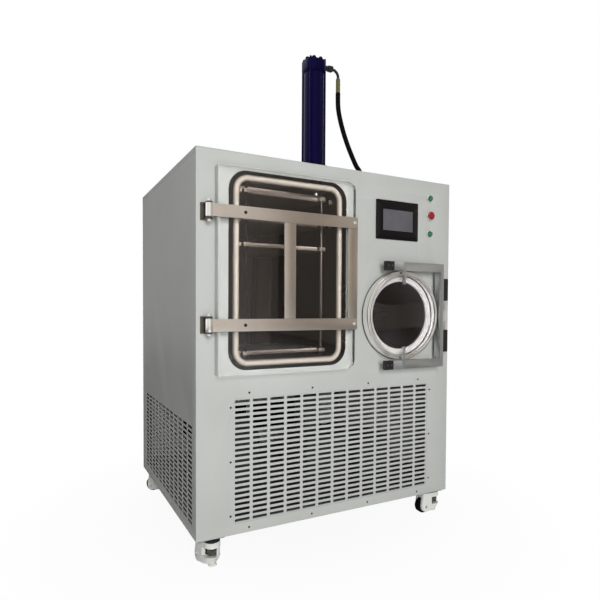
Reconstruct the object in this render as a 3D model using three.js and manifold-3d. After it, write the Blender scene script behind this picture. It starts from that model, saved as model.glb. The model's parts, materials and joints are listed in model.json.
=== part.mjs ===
// Pilot freeze dryer: a sheet-metal cabinet on four levelling casters, with a
// square drying chamber behind a clear hinged door, a round cold trap behind a
// clear door held in a steel yoke, and a hydraulic stoppering press on top.
// X runs to the right, Y to the back and Z up. All sizes are in millimetres.
import * as THREE from 'three';
import { mergeVertices } from 'three/addons/utils/BufferGeometryUtils.js';
import Module from 'manifold-3d';

const wasm = await Module();
wasm.setup();

// ---------------------------------------------------------------- dimensions

const gap = 0.3;          // clearance wherever two pieces seat on each other
const runningFit = 0.4;   // radial clearance round a shaft that turns or slides

const cabinet = { width: 1050, depth: 870, height: 1250, sheet: 2 };

const chassis = {
  tube: 40,               // bottom ring and the rails that carry the chamber
  post: 30,               // corner posts and the ring under the top
  deck: 3,                // plate that the machinery stands on
  saddle: 30,             // width of the blocks under the cold trap
  railSetback: 70,        // front cross rail, behind the posts
  railReach: 103.2,       // rear cross rail, ahead of the chamber's back
};

// Chamber mouth: the clear opening that the shelves are loaded through. It fills
// the front from the door's hinge to the trap door, and from its floor to the top.
const mouth = { floor: 577, headroom: 95, trapGap: 117, corner: 30 };
const chamber = { wall: 4, depth: 560, rim: 12, seal: 22, sealDepth: 7,
  panelGapX: 16, panelGapZ: 11, ductSetback: 130 };

const shelf = {
  sideGap: 19, frontGap: 50.7, backGap: 24, thickness: 13,
  topGap: 16.5,           // from the chamber roof to the pressing plate
  plateDrop: 91,          // from the pressing plate to the shelf below it
  pitch: 85,              // between the two hung shelves when raised
  floorGap: 13.5,         // under the bottom shelf
  lug: 24, lugReach: 20,  // ears that ride on the front guide rods
  railWidth: 16, railReach: 30, railSpread: 200,
};
const guideRod = { radius: 5, inset: 21 };

const door = { thickness: 35, standoff: 5, bevel: 8, freeCorner: 35, hingeCorner: 9,
  overlapLeft: 82, overlapRight: 64, overlapBottom: 51, overlapTop: 42 };
const strap = { width: 40, thickness: 5.7, upperDrop: 107, lowerRise: 115, overhang: 4,
  middleBarOffset: -17, middleBarWidth: 42 };
const doorHinge = { edgeGap: 13, paneGap: 26, barrelRadius: 12, pinRadius: 5, ear: 6, earRadius: 10,
  leafWidth: 20, leafThickness: 8, leafHeight: 62, headRadius: 6, headHeight: 8 };

const trap = { rise: 143, radius: 123, wall: 3,
  flangeRadius: 150, flange: 10, sealDepth: 7, panelGap: 4,
  ductRadius: 47, ductWall: 3, ductSetback: 60,
  pipeRadius: 21, pipeWall: 2, pipeOffset: 72, pipeMouth: 170, pipeTail: 40 };
const coil = { tube: 8, pitch: 70, railGap: 23.2, ductGap: 10, segments: 10, clearance: 0.7 };
const trapDoor = { discThickness: 33, standoff: 5, ringRadius: 167, ringWall: 15.7,
  ringThickness: 36, bead: 6 };
const yoke = { proud: 7, armHeight: 32, armThickness: 16, ringGap: 1.5,
  leftReach: 95, sideWidth: 16, sideDepth: 34, sideGap: 2,
  lugWidth: 10, lugOffset: 11, lugRise: 4, lugOverlap: 52 };
const trapHinge = { edgeGap: 35, axisOffset: 32, axisY: 22, blockWidth: 30, blockDepth: 37,
  blockHeight: 87, spread: 116, pinRadius: 5, knuckleRadius: 12, knuckleHeight: 37,
  webFront: 32, webBack: 14 };

const grille = { sheet: 1.5, margin: 28, slotWidth: 52, slotHeight: 8,
  pitch: 63, pitchZ: 17.9, left: 131, right: 111, bottom: 41.1, drop: 134.1,
  windowMargin: 4.5 };
const sideGrille = { slotWidth: 50, slotHeight: 8, pitch: 63, pitchZ: 16.5,
  front: 100.5, back: 26.5, bottom: 38.25, drop: 217.25 };
const backVent = { slotWidth: 300, slotHeight: 10, columns: 2, rows: 5, pitch: 360,
  pitchZ: 26, centreZ: 190 };

const screen = { fromRight: 265.5, fromTop: 168, width: 199.5, height: 148, bezel: 6,
  corner: 4, bodyInset: 5, bodyDepth: 40, glassWidth: 142, glassHeight: 80,
  glassDepth: 1.5, glassOffsetX: 2 };
const button = { fromRight: 108, bezelRadius: 15, bezelHeight: 10, neckRadius: 11,
  neckLength: 18, plungerRadius: 9.5, stem: 12, travel: 4, mushroomRadius: 16,
  mushroomHeight: 7 };
const buttonRows = [
  { name: 'start_button', fromTop: 68, colour: 0x1f7a4d, mushroom: false },
  { name: 'stop_button', fromTop: 137, colour: 0xb3121c, mushroom: true },
  { name: 'vacuum_button', fromTop: 208, colour: 0x1f7a4d, mushroom: false },
];

const cylinder = { inset: 51.5, y: 70, side: 73, tubeRadius: 36, bore: 31.5, base: 12,
  endWall: 8, length: 341.4, headHeight: 45, headChamfer: 9, tieRadius: 4, tieSpread: 58,
  nutRadius: 9, nutHeight: 8, port: 10 };
const press = { rodRadius: 11, piston: 20, pistonGap: 2, bossHeight: 9, rib: 18,
  neckRadius: 28 };

const hose = { radius: 8.2, sides: 8, steps: 24 };
const fitting = { neckRadius: 6, neckLength: 20, blockSize: 18, blockLength: 22,
  pipeRadius: 5, bend: 24.2, sleeveRadius: 8.4, sleeveLength: 52, pipeDrop: 4 };
const gland = { offset: 202.5, radius: 13, neckRadius: 9, height: 12, stem: 12, nut: 6 };

const caster = { height: 100, insetX: 54, insetY: 55, plate: 6, plateSize: 90,
  kingpin: 7, kingpinLength: 18, bodyLength: 104, bodyWidth: 54, corner: 12, bossRadius: 26,
  wheelRadius: 31, wheelWidth: 24, wheelOffset: 22, axleRadius: 4, cheekRadius: 22,
  footOffset: 29, footRadius: 18, footRaise: 3, footThickness: 7, stemRadius: 6,
  stemLength: 74, handwheelRadius: 19, handwheelHeight: 18, handwheelZ: 40,
  bossFoot: 12, bossChamfer: 16, bossRise: 24, window: 2, endWall: 5 };
const casterTurns = { front_left: -73, front_right: -3, rear_left: -40, rear_right: 20 };

const compressor = { x: 260, y: 330, radius: 105, height: 270 };
const vacuumPump = { fromRight: 250, y: 330, length: 380, width: 150, height: 170, motorRadius: 68 };
const hydraulicUnit = { pumpGap: 55, y: 260, width: 170, depth: 220, height: 190,
  motorRadius: 55, motorHeight: 150, motorSetback: 60, portHeight: 18 };

// ------------------------------------------------------------------- helpers

// Fewer or more facets on round work, by radius.
const facets = (radius) => (radius > 100 ? 32 : radius > 25 ? 20 : radius > 8 ? 12 : 8);

function solidOf(geometry) {
  const bare = geometry.clone();
  bare.deleteAttribute('normal');
  bare.deleteAttribute('uv');
  const merged = mergeVertices(bare, 1e-4);
  const triVerts = Uint32Array.from(merged.index.array);
  const vertProperties = Float32Array.from(merged.attributes.position.array);
  return new wasm.Manifold(new wasm.Mesh({ numProp: 3, vertProperties, triVerts }));
}

function geometryOf(solid) {
  const mesh = solid.getMesh();
  const geometry = new THREE.BufferGeometry();
  geometry.setAttribute('position', new THREE.BufferAttribute(mesh.vertProperties, 3));
  geometry.setIndex(new THREE.BufferAttribute(mesh.triVerts, 1));
  const flat = geometry.toNonIndexed();
  flat.computeVertexNormals();
  return flat;
}

const fuse = (...solids) => solids.reduce((whole, piece) => whole.add(piece));
const cut = (solid, ...tools) => tools.reduce((whole, tool) => whole.subtract(tool), solid);

// A box from its low corner to its high corner, so that faces given the same
// value lie in exactly one plane.
function block(x0, y0, z0, x1, y1, z1) {
  const box = new THREE.BoxGeometry(1, 1, 1);
  const p = box.attributes.position;
  for (let i = 0; i < p.count; i += 1) {
    p.setXYZ(i, p.getX(i) < 0 ? x0 : x1, p.getY(i) < 0 ? y0 : y1, p.getZ(i) < 0 ? z0 : z1);
  }
  return solidOf(box);
}

// A closed section given as [radius, height] corners, turned about the local
// axis and laid along X, Y or Z. Half a facet of turn puts a flat at the bottom.
function turned(corners, axis = 'z', segments = 24, turn = 0) {
  const section = corners.map(([radius, height]) => new THREE.Vector2(radius, height));
  const first = section[0];
  const last = section[section.length - 1];
  const closesOnAxis = first.x === 0 && last.x === 0;
  if (!closesOnAxis) section.push(first.clone());
  const lathe = new THREE.LatheGeometry(section, segments, turn);
  if (axis === 'z') lathe.rotateX(Math.PI / 2);
  if (axis === 'x') lathe.rotateZ(-Math.PI / 2);
  return outward(lathe);
}

// Turned sections may run either way round: the faces are made to point out.
function outward(geometry) {
  const solid = geometry.index ? geometry.toNonIndexed() : geometry.clone();
  const p = solid.attributes.position;
  const [a, b, c] = [new THREE.Vector3(), new THREE.Vector3(), new THREE.Vector3()];
  let volume = 0;
  for (let i = 0; i < p.count; i += 3) {
    a.fromBufferAttribute(p, i);
    b.fromBufferAttribute(p, i + 1);
    c.fromBufferAttribute(p, i + 2);
    volume += a.dot(b.cross(c));
  }
  if (volume < 0) {
    for (let i = 0; i < p.count; i += 3) {
      b.fromBufferAttribute(p, i + 1);
      c.fromBufferAttribute(p, i + 2);
      p.setXYZ(i + 1, c.x, c.y, c.z);
      p.setXYZ(i + 2, b.x, b.y, b.z);
    }
  }
  return solidOf(dropSlivers(solid));
}

// Leaves out the triangles that a turned section makes where it meets the axis.
function dropSlivers(geometry) {
  const p = geometry.attributes.position;
  const kept = [];
  const [a, b, c] = [new THREE.Vector3(), new THREE.Vector3(), new THREE.Vector3()];
  for (let i = 0; i < p.count; i += 3) {
    a.fromBufferAttribute(p, i);
    b.fromBufferAttribute(p, i + 1);
    c.fromBufferAttribute(p, i + 2);
    const flat = b.clone().sub(a).cross(c.clone().sub(a)).length() < 1e-6;
    if (!flat) kept.push(...a.toArray(), ...b.toArray(), ...c.toArray());
  }
  const clean = new THREE.BufferGeometry();
  clean.setAttribute('position', new THREE.Float32BufferAttribute(kept, 3));
  return clean;
}

function rod(radius, from, to, axis = 'z', segments = facets(radius), turn = 0) {
  return turned([[0, from], [radius, from], [radius, to], [0, to]], axis, segments, turn);
}

// A round hole whose flats still clear a shaft of the given radius.
const clearOf = (radius, segments) => (radius + runningFit) / Math.cos(Math.PI / segments);

function shaftHole(radius, from, to, axis = 'z', segments = 8) {
  return rod(clearOf(radius, segments), from, to, axis, segments);
}

function ring(inner, outer, from, to, axis = 'z', segments = facets(outer)) {
  return turned([[inner, from], [outer, from], [outer, to], [inner, to]], axis, segments);
}

// Rectangle with its own radius at each corner, centred on (x, z). Corners run
// from the low-X low-Z one, anticlockwise.
function roundedRect(width, height, corners, x = 0, z = 0) {
  const [a, b, c, d] = corners.length ? corners : [corners, corners, corners, corners];
  const [x0, x1, z0, z1] = [x - width / 2, x + width / 2, z - height / 2, z + height / 2];
  const quarter = Math.PI / 2;
  const shape = new THREE.Shape();
  shape.moveTo(x0 + a, z0);
  shape.lineTo(x1 - b, z0);
  shape.absarc(x1 - b, z0 + b, b, -quarter, 0, false);
  shape.lineTo(x1, z1 - c);
  shape.absarc(x1 - c, z1 - c, c, 0, quarter, false);
  shape.lineTo(x0 + d, z1);
  shape.absarc(x0 + d, z1 - d, d, quarter, 2 * quarter, false);
  shape.lineTo(x0, z0 + a);
  shape.absarc(x0 + a, z0 + a, a, 2 * quarter, 3 * quarter, false);
  return shape;
}

function polygon(points) {
  return new THREE.Shape(points.map(([x, y]) => new THREE.Vector2(x, y)));
}

function circle(radius, x, z) {
  return new THREE.Shape().absarc(x, z, radius, 0, 2 * Math.PI, false);
}

const extrudeAxes = {
  x: new THREE.Matrix4().makeBasis(
    new THREE.Vector3(0, 1, 0), new THREE.Vector3(0, 0, 1), new THREE.Vector3(1, 0, 0)),
  y: new THREE.Matrix4().makeBasis(
    new THREE.Vector3(1, 0, 0), new THREE.Vector3(0, 0, 1), new THREE.Vector3(0, -1, 0)),
  z: new THREE.Matrix4(),
};

// A profile pushed along X, Y or Z between two stations. Profiles for X are
// drawn in (Y, Z), for Y in (X, Z) and for Z in (X, Y).
function pushed(shape, axis, from, to, curveSegments = 2) {
  const geometry = new THREE.ExtrudeGeometry(shape, {
    depth: to - from, bevelEnabled: false, curveSegments });
  geometry.applyMatrix4(extrudeAxes[axis]);
  const offset = axis === 'y' ? to : from;
  const move = { x: [offset, 0, 0], y: [0, offset, 0], z: [0, 0, offset] }[axis];
  geometry.translate(...move);
  return solidOf(geometry);
}

// A plate of one outline with holes through it.
function plate(outline, holes, axis, from, to, curveSegments = 2) {
  return cut(pushed(outline, axis, from, to, curveSegments),
    pushed(holes, axis, from - 1, to + 1, curveSegments));
}

// Cutting tool for straight-edged slots in rows and columns.
function slotTool(pattern, axis, from, to) {
  const { columns, rows, pitch, pitchZ, slotWidth, slotHeight, centre, centreZ } = pattern;
  const [w, h] = [slotWidth / 2, slotHeight / 2];
  const slots = [];
  for (let row = 0; row < rows; row += 1) {
    const z = centreZ + (row - (rows - 1) / 2) * pitchZ;
    for (let column = 0; column < columns; column += 1) {
      const x = centre + (column - (columns - 1) / 2) * pitch;
      slots.push(polygon([[x - w, z - h], [x + w, z - h], [x + w, z + h], [x - w, z + h]]));
    }
  }
  return pushed(slots, axis, from - 1, to + 1);
}

const finishes = {
  powderCoat: { color: 0xc6c8c4, roughness: 0.55, metalness: 0.0 },
  darkSteel: { color: 0x2b2b2d, roughness: 0.5, metalness: 0.4 },
  stainless: { color: 0xb9b6b0, roughness: 0.3, metalness: 1.0 },
  chamberSteel: { color: 0x6f6863, roughness: 0.35, metalness: 1.0 },
  chrome: { color: 0xdedede, roughness: 0.12, metalness: 1.0 },
  silicone: { color: 0xe3d8d0, roughness: 0.6, metalness: 0.0 },
  acrylic: { color: 0xe6efec, roughness: 0.05, metalness: 0.0, transparent: true, opacity: 0.3 },
  gloss: { color: 0x101012, roughness: 0.15, metalness: 0.0 },
  navy: { color: 0x191250, roughness: 0.3, metalness: 0.2 },
  rubber: { color: 0x17171a, roughness: 0.8, metalness: 0.0 },
  whiteNylon: { color: 0xdedfd8, roughness: 0.5, metalness: 0.0 },
  copper: { color: 0xb06a3c, roughness: 0.3, metalness: 1.0 },
  castIron: { color: 0x3a3c3e, roughness: 0.7, metalness: 0.5 },
};

function mesh(name, solid, finish) {
  const material = new THREE.MeshStandardMaterial(
    typeof finish === 'string' ? finishes[finish] : finish);
  const piece = new THREE.Mesh(geometryOf(solid), material);
  piece.name = name;
  return piece;
}

// ------------------------------------------------------ values worked out once

const frontBack = cabinet.sheet + gap;                   // behind the front sheet
const frameFront = frontBack + grille.sheet + gap;       // front of the chassis
const frameBack = cabinet.depth - cabinet.sheet - gap;
const frameLeft = cabinet.sheet + gap;
const frameRight = cabinet.width - cabinet.sheet - gap;
const topUnder = cabinet.height - cabinet.sheet;         // underside of the top

// The trap door is set out from the right edge, the chamber door from the left
// one, and the chamber's mouth fills what is between them.
const trapAxisX = cabinet.width - trapHinge.edgeGap - trapHinge.blockWidth / 2;
const yokeSide = trapAxisX - trapHinge.axisOffset - yoke.sideWidth / 2;
const trapX = yokeSide - yoke.sideGap - trapDoor.ringRadius;
const trapZ = mouth.floor + trap.rise;
const doorAxisX = doorHinge.edgeGap + doorHinge.leafWidth / 2 + doorHinge.earRadius;
const doorLeft = doorAxisX + doorHinge.paneGap;

const mouthFloor = mouth.floor;
const mouthRoof = cabinet.height - mouth.headroom;
const mouthLeft = doorLeft + door.overlapLeft;
const mouthRight = trapX - trapDoor.ringRadius - mouth.trapGap;
const [mouthWidth, mouthHeight] = [mouthRight - mouthLeft, mouthRoof - mouthFloor];
const [mouthX, mouthZ] = [(mouthLeft + mouthRight) / 2, (mouthFloor + mouthRoof) / 2];
const rimFront = chamber.sealDepth + gap;                // chamber rim, behind the sheet
const chamberBack = rimFront + chamber.depth;
const ductY = chamberBack - chamber.ductSetback;         // axis of the vapour duct
const railTop = mouthFloor - chamber.wall - gap;         // what the chamber stands on

const shelfFront = rimFront + shelf.frontGap;
const shelfBack = chamberBack - chamber.wall - shelf.backGap;
const shelfLeft = mouthLeft + shelf.sideGap;
const shelfRight = mouthRight - shelf.sideGap;
const plateLevel = mouthRoof - shelf.topGap - shelf.thickness;
const rodY = shelfFront - shelf.lugReach / 2;
const rodXs = [shelfLeft + guideRod.inset, shelfRight - guideRod.inset];
const railXs = [-1, 1].map((side) => mouthX + side * shelf.railSpread / 2);

const [doorRight, doorTop] = [mouthRight + door.overlapRight, mouthRoof + door.overlapTop];
const doorBottom = mouthFloor - door.overlapBottom;
const [doorWidth, doorHeight] = [doorRight - doorLeft, doorTop - doorBottom];
const [doorX, doorZ] = [(doorLeft + doorRight) / 2, (doorBottom + doorTop) / 2];
const doorBack = -door.standoff;
const doorFront = doorBack - door.thickness;
const strapBack = doorFront - gap;
const strapFront = strapBack - strap.thickness;
const strapRight = doorRight + strap.overhang;
const strapLevels = {
  upper: mouthRoof - strap.upperDrop,
  lower: mouthFloor + strap.lowerRise,
};
const doorAxisY = strapFront + doorHinge.barrelRadius;

const trapRimFront = trap.sealDepth + gap;
const trapBack = ductY + trap.ductSetback;
const coilRadius = (trap.radius + trap.wall + coil.clearance + coil.tube / 2) /
  Math.cos(Math.PI / coil.segments);                     // flats clear the pot
const trapDoorBack = -trapDoor.standoff;
const discRadius = trapDoor.ringRadius - trapDoor.ringWall - gap;
const yokeInner = trapDoor.ringRadius + yoke.ringGap;    // from the trap's centre
const ringFront = trapDoorBack - trapDoor.ringThickness - trapDoor.bead;
const yokeFront = ringFront - yoke.proud;

const railYs = [frameFront + chassis.post + chassis.railSetback,
  chamberBack - chassis.railReach];
const coilBack = ductY - trap.ductRadius - trap.ductWall - coil.ductGap;
const coilTurns = Math.max(1,
  Math.floor((coilBack - railYs[0] - chassis.tube - coil.railGap) / coil.pitch + 1e-6));

const cylinderX = mouthRight - cylinder.inset;
const glandX = cylinderX + gland.offset;
const barrelBase = cabinet.height + gap;
const barrelTop = barrelBase + cylinder.length;
const headBase = barrelTop + gap;

const [screenX, screenZ] = [cabinet.width - screen.fromRight, cabinet.height - screen.fromTop];
const buttonX = cabinet.width - button.fromRight;
const buttonLevels = buttonRows.map((row) =>
  ({ ...row, centreZ: cabinet.height - row.fromTop }));

// As many rows and columns of slots as a field takes, centred in it.
function slotField(pattern, from, to, low, high) {
  const fit = (span, slot, pitch) => Math.floor((span - slot) / pitch + 1e-6) + 1;
  return { ...pattern, centre: (from + to) / 2, centreZ: (low + high) / 2,
    columns: fit(to - from, pattern.slotWidth, pattern.pitch),
    rows: fit(high - low, pattern.slotHeight, pattern.pitchZ) };
}
const frontSlots = slotField(grille, grille.left, cabinet.width - grille.right,
  grille.bottom, mouthFloor - grille.drop);
const sideSlots = slotField(sideGrille, sideGrille.front, cabinet.depth - sideGrille.back,
  sideGrille.bottom, mouthFloor - sideGrille.drop);
const backSlots = { ...backVent, centre: cabinet.width / 2 };

// ------------------------------------------------------------------ the cabinet

function baseFrame() {
  const { tube, post, deck, saddle } = chassis;
  const [l, r, f, b] = [frameLeft, frameRight, frameFront, frameBack];
  const postTop = topUnder - gap;
  const bars = [
    block(l, f, 0, r, b, tube + deck),
    ...[l, r - post].flatMap((x) => [f, b - post].map(
      (y) => block(x, y, tube, x + post, y + post, postTop))),
    block(l, f, postTop - post, r, f + post, postTop),
    block(l, b - post, postTop - post, r, b, postTop),
    block(l, f, postTop - post, l + post, b, postTop),
    block(r - post, f, postTop - post, r, b, postTop),
    block(l, f, railTop - tube, l + post, b, railTop),
    block(r - post, f, railTop - tube, r, b, railTop),
  ];
  const trapUnder = trapZ - trap.radius - trap.wall - gap;
  for (const y of railYs) {
    bars.push(block(l, y, railTop - tube, r, y + tube, railTop));
    bars.push(block(trapX - saddle / 2, y, railTop - 1,
      trapX + saddle / 2, y + tube, trapUnder));
  }
  const hollow = block(l + tube, f + tube, -1, r - tube, b - tube, tube);
  const pads = casterSpots().map(([x, y]) => fuse(
    block(x - caster.plateSize / 2, y - caster.plateSize / 2, -caster.plate,
      x + caster.plateSize / 2, y + caster.plateSize / 2, 1),
    rod(caster.kingpin, -caster.plate - caster.kingpinLength, -caster.plate + 1)
      .translate([x, y, 0])));
  return fuse(cut(fuse(...bars), hollow), ...pads);
}

function frontPanel() {
  const height = topUnder - gap;
  const sheet = block(0, 0, 0, cabinet.width, cabinet.sheet, height);
  const [clearX, clearZ] = [chamber.seal + chamber.panelGapX, chamber.seal + chamber.panelGapZ];
  const openings = [
    roundedRect(mouthWidth + 2 * clearX, mouthHeight + 2 * clearZ, mouth.corner + clearZ,
      mouthX, mouthZ),
    roundedRect(screen.width - 2 * screen.bodyInset + 2 * gap,
      screen.height - 2 * screen.bodyInset + 2 * gap, 1, screenX, screenZ),
    roundedRect(
      (frontSlots.columns - 1) * grille.pitch + grille.slotWidth + 2 * grille.windowMargin,
      (frontSlots.rows - 1) * grille.pitchZ + grille.slotHeight + 2 * grille.windowMargin,
      2, frontSlots.centre, frontSlots.centreZ)];
  const trapHole = rod(trap.flangeRadius + trap.panelGap, -1, cabinet.sheet + 1, 'y')
    .translate([trapX, 0, trapZ]);
  const buttonHoles = buttonLevels.map((row) =>
    rod(button.neckRadius + gap, -1, cabinet.sheet + 1, 'y')
      .translate([buttonX, 0, row.centreZ]));
  return cut(sheet, pushed(openings, 'y', -1, cabinet.sheet + 1), trapHole, ...buttonHoles);
}

function frontGrille() {
  const { columns, rows, centre, centreZ } = frontSlots;
  const width = (columns - 1) * grille.pitch + grille.slotWidth + 2 * grille.margin;
  const height = (rows - 1) * grille.pitchZ + grille.slotHeight + 2 * grille.margin;
  const [front, back] = [frontBack, frontBack + grille.sheet];
  const sheet = block(centre - width / 2, front, centreZ - height / 2,
    centre + width / 2, back, centreZ + height / 2);
  return cut(sheet, slotTool(frontSlots, 'y', front, back));
}

const sidePanel = (x) => block(x, frontBack, 0, x + cabinet.sheet, frameBack, topUnder - gap);

const leftSidePanel = () => cut(sidePanel(0), slotTool(sideSlots, 'x', 0, cabinet.sheet));

function backPanel() {
  const front = cabinet.depth - cabinet.sheet;
  const sheet = block(0, front, 0, cabinet.width, cabinet.depth, topUnder - gap);
  return cut(sheet, slotTool(backSlots, 'y', front, cabinet.depth));
}

function topPanel() {
  const sheet = block(0, 0, topUnder, cabinet.width, cabinet.depth, cabinet.height);
  const rodHole = shaftHole(press.rodRadius, topUnder - 1, cabinet.height + 1, 'z', 12)
    .translate([cylinderX, cylinder.y, 0]);
  const hoseHole = rod(gland.neckRadius + gap, topUnder - 1, cabinet.height + 1)
    .translate([glandX, cylinder.y, 0]);
  return cut(sheet, rodHole, hoseHole);
}

// ------------------------------------------------------------------- the chamber

// A rounded box with an open front, a thick rim for the seal, a neck that
// carries the press cylinder, and two rails on the back wall for the shelves.
function chamberBody() {
  const { wall, rim, seal } = chamber;
  const at = [mouthX, mouthZ];
  const inside = roundedRect(mouthWidth, mouthHeight, mouth.corner, ...at);
  const outside = roundedRect(mouthWidth + 2 * wall, mouthHeight + 2 * wall,
    mouth.corner + wall, ...at);
  const flange = roundedRect(mouthWidth + 2 * seal, mouthHeight + 2 * seal,
    mouth.corner + seal, ...at);
  const shell = fuse(
    pushed(flange, 'y', rimFront, rimFront + rim),
    pushed(outside, 'y', rimFront + rim / 2, chamberBack),
    rod(press.neckRadius, mouthRoof + wall / 2, topUnder - gap)
      .translate([cylinderX, cylinder.y, 0]));
  const hollow = pushed(inside, 'y', rimFront - 1, chamberBack - wall);
  const rodBore = shaftHole(press.rodRadius, mouthRoof - 1, topUnder + 1, 'z', 12)
    .translate([cylinderX, cylinder.y, 0]);
  const port = rod(trap.ductRadius, mouthRight - wall, mouthRight + 2 * wall, 'x', 20)
    .translate([0, ductY, trapZ]);
  const rails = railXs.map((x) => block(x - shelf.railWidth / 2,
    chamberBack - wall - shelf.railReach, mouthFloor - wall / 2,
    x + shelf.railWidth / 2, chamberBack - wall / 2, mouthRoof + wall / 2));
  return fuse(cut(shell, hollow, rodBore, port), ...rails);
}

function chamberGasket() {
  const { seal, sealDepth } = chamber;
  const outline = roundedRect(mouthWidth + 2 * seal, mouthHeight + 2 * seal,
    mouth.corner + seal, mouthX, mouthZ);
  const hole = roundedRect(mouthWidth, mouthHeight, mouth.corner,
    mouthX, mouthZ);
  return plate(outline, [hole], 'y', doorBack + gap, sealDepth);
}

// A shelf with two ears on the front guide rods and two notches on the back rails.
function shelfPlate(level) {
  const top = level + shelf.thickness;
  const ears = rodXs.map((x) => block(x - shelf.lug / 2, shelfFront - shelf.lugReach, level,
    x + shelf.lug / 2, shelfFront + 1, top));
  const holes = rodXs.map((x) =>
    shaftHole(guideRod.radius, level - 1, top + 1).translate([x, rodY, 0]));
  const clear = shelf.railWidth / 2 + gap + runningFit;
  const notchFront = chamberBack - chamber.wall - shelf.railReach - gap - runningFit;
  const notches = railXs.map((x) =>
    block(x - clear, notchFront, level - 1, x + clear, shelfBack + 1, top + 1));
  return cut(fuse(block(shelfLeft, shelfFront, level, shelfRight, shelfBack, top), ...ears),
    ...holes, ...notches);
}

function pressingPlate() {
  const top = plateLevel + shelf.thickness;
  const ribTop = top + press.bossHeight;
  const half = press.rib / 2;
  const middleY = (shelfFront + shelfBack) / 2;
  return fuse(shelfPlate(plateLevel),
    block(mouthX - half, shelfFront, top - 1, mouthX + half, shelfBack, ribTop),
    block(shelfLeft, cylinder.y - half, top - 1, shelfRight, cylinder.y + half, ribTop),
    block(shelfLeft, middleY - half, top - 1, shelfRight, middleY + half, ribTop));
}

function pistonRod() {
  const bottom = plateLevel + shelf.thickness + press.bossHeight + gap;
  const pistonTop = barrelTop - press.pistonGap;
  const pistonBottom = pistonTop - press.piston;
  return turned([[0, bottom], [press.rodRadius, bottom], [press.rodRadius, pistonBottom],
    [cylinder.bore - runningFit, pistonBottom], [cylinder.bore - runningFit, pistonTop],
    [0, pistonTop]], 'z', 12).translate([cylinderX, cylinder.y, 0]);
}

const guideRodSolid = (x) => rod(guideRod.radius, mouthFloor + gap, mouthRoof - gap, 'z', 8)
  .translate([x, rodY, 0]);

// ---------------------------------------------------------------- the press drive

// Tie-rod cylinder: a square foot and the tube are one piece, bored for the piston.
function cylinderBarrel() {
  const { side, tubeRadius, bore, base, endWall } = cylinder;
  const foot = block(-side / 2, -side / 2, barrelBase, side / 2, side / 2, barrelBase + base);
  const tube = rod(tubeRadius, barrelBase + base - 1, barrelTop);
  const pistonBore = rod(bore, barrelBase + endWall, barrelTop + 1);
  const rodBore = shaftHole(press.rodRadius, barrelBase - 1, barrelBase + base, 'z', 12);
  return cut(fuse(foot, tube), pistonBore, rodBore).translate([cylinderX, cylinder.y, 0]);
}

// Square head with the four tie rods and their nuts.
function cylinderHead() {
  const { side, headHeight, headChamfer, tieRadius, tieSpread, nutRadius, nutHeight } = cylinder;
  const top = headBase + headHeight;
  const [half, low] = [side / 2, side / 2 - headChamfer];
  const face = polygon([[-low, headBase], [low, headBase], [half, headBase + headChamfer],
    [half, top], [-half, top], [-half, headBase + headChamfer]]);
  const head = pushed(face, 'y', -half, half).intersect(pushed(face, 'x', -half, half));
  const corners = [-1, 1].flatMap((u) => [-1, 1].map(
    (v) => [u * tieSpread / 2, v * tieSpread / 2, 0]));
  const ties = corners.map((at) => rod(tieRadius, barrelBase + cylinder.base + gap,
    headBase + headHeight / 2, 'z', 8).translate(at));
  const nuts = corners.map((at) => rod(nutRadius, top - 1, top + nutHeight, 'z', 6)
    .translate(at));
  return fuse(head, ...ties, ...nuts).translate([cylinderX, cylinder.y, 0]);
}

const portX = cylinderX + cylinder.side / 2;
const portZ = headBase + cylinder.headHeight - cylinder.port;

// Adaptor screwed into the head, with the black block that the pipe leaves from.
function hoseElbow() {
  const { neckRadius, neckLength, blockSize, blockLength } = fitting;
  const [start, end] = [portX + gap, portX + neckLength + blockLength];
  const half = blockSize / 2;
  return fuse(rod(neckRadius, start, end - 1, 'x', 12),
    block(portX + neckLength, -half, -half, end, half, half))
    .translate([0, cylinder.y, portZ]);
}

// Bent steel pipe with the crimped sleeve that grips the hose.
const pipeStart = new THREE.Vector3(
  portX + fitting.neckLength + fitting.blockLength + gap, cylinder.y, portZ);
const pipeFoot = pipeStart.clone().add(
  new THREE.Vector3(fitting.bend, 0, -fitting.bend - fitting.pipeDrop));
const sleeveFoot = pipeFoot.z - fitting.sleeveLength;

function hoseEnd() {
  const corner = new THREE.Vector3(pipeFoot.x, pipeStart.y, pipeStart.z);
  const below = new THREE.Vector3(corner.x, corner.y, pipeStart.z - fitting.bend);
  const route = new THREE.CurvePath();
  route.add(new THREE.QuadraticBezierCurve3(pipeStart, corner, below));
  route.add(new THREE.LineCurve3(below, new THREE.Vector3(corner.x, corner.y, pipeFoot.z - 2)));
  const pipe = new THREE.ExtrudeGeometry(circle(fitting.pipeRadius, 0, 0), {
    steps: 8, curveSegments: 3, bevelEnabled: false, extrudePath: route });
  const sleeve = rod(fitting.sleeveRadius, sleeveFoot, pipeFoot.z, 'z', 10)
    .translate([pipeFoot.x, pipeFoot.y, 0]);
  return fuse(solidOf(pipe), sleeve);
}

// The hose hangs in a bow from the crimped sleeve to the bulkhead gland in the top.
// Each point is a share of the way across and a share of the way down.
const hoseBow = [[0, 0], [0, 0.081], [0.015, 0.1895], [0.0755, 0.2985], [0.191, 0.435],
  [0.342, 0.572], [0.543, 0.722], [0.854, 0.913], [1, 0.9727], [1, 1]];
const hoseTop = sleeveFoot - gap;
const hoseFoot = cabinet.height + gap + gland.height + gap;
const hoseRoute = hoseBow.map(([across, down]) => [
  pipeFoot.x + across * (glandX - pipeFoot.x), cylinder.y,
  hoseTop + down * (hoseFoot - hoseTop)]);

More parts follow.
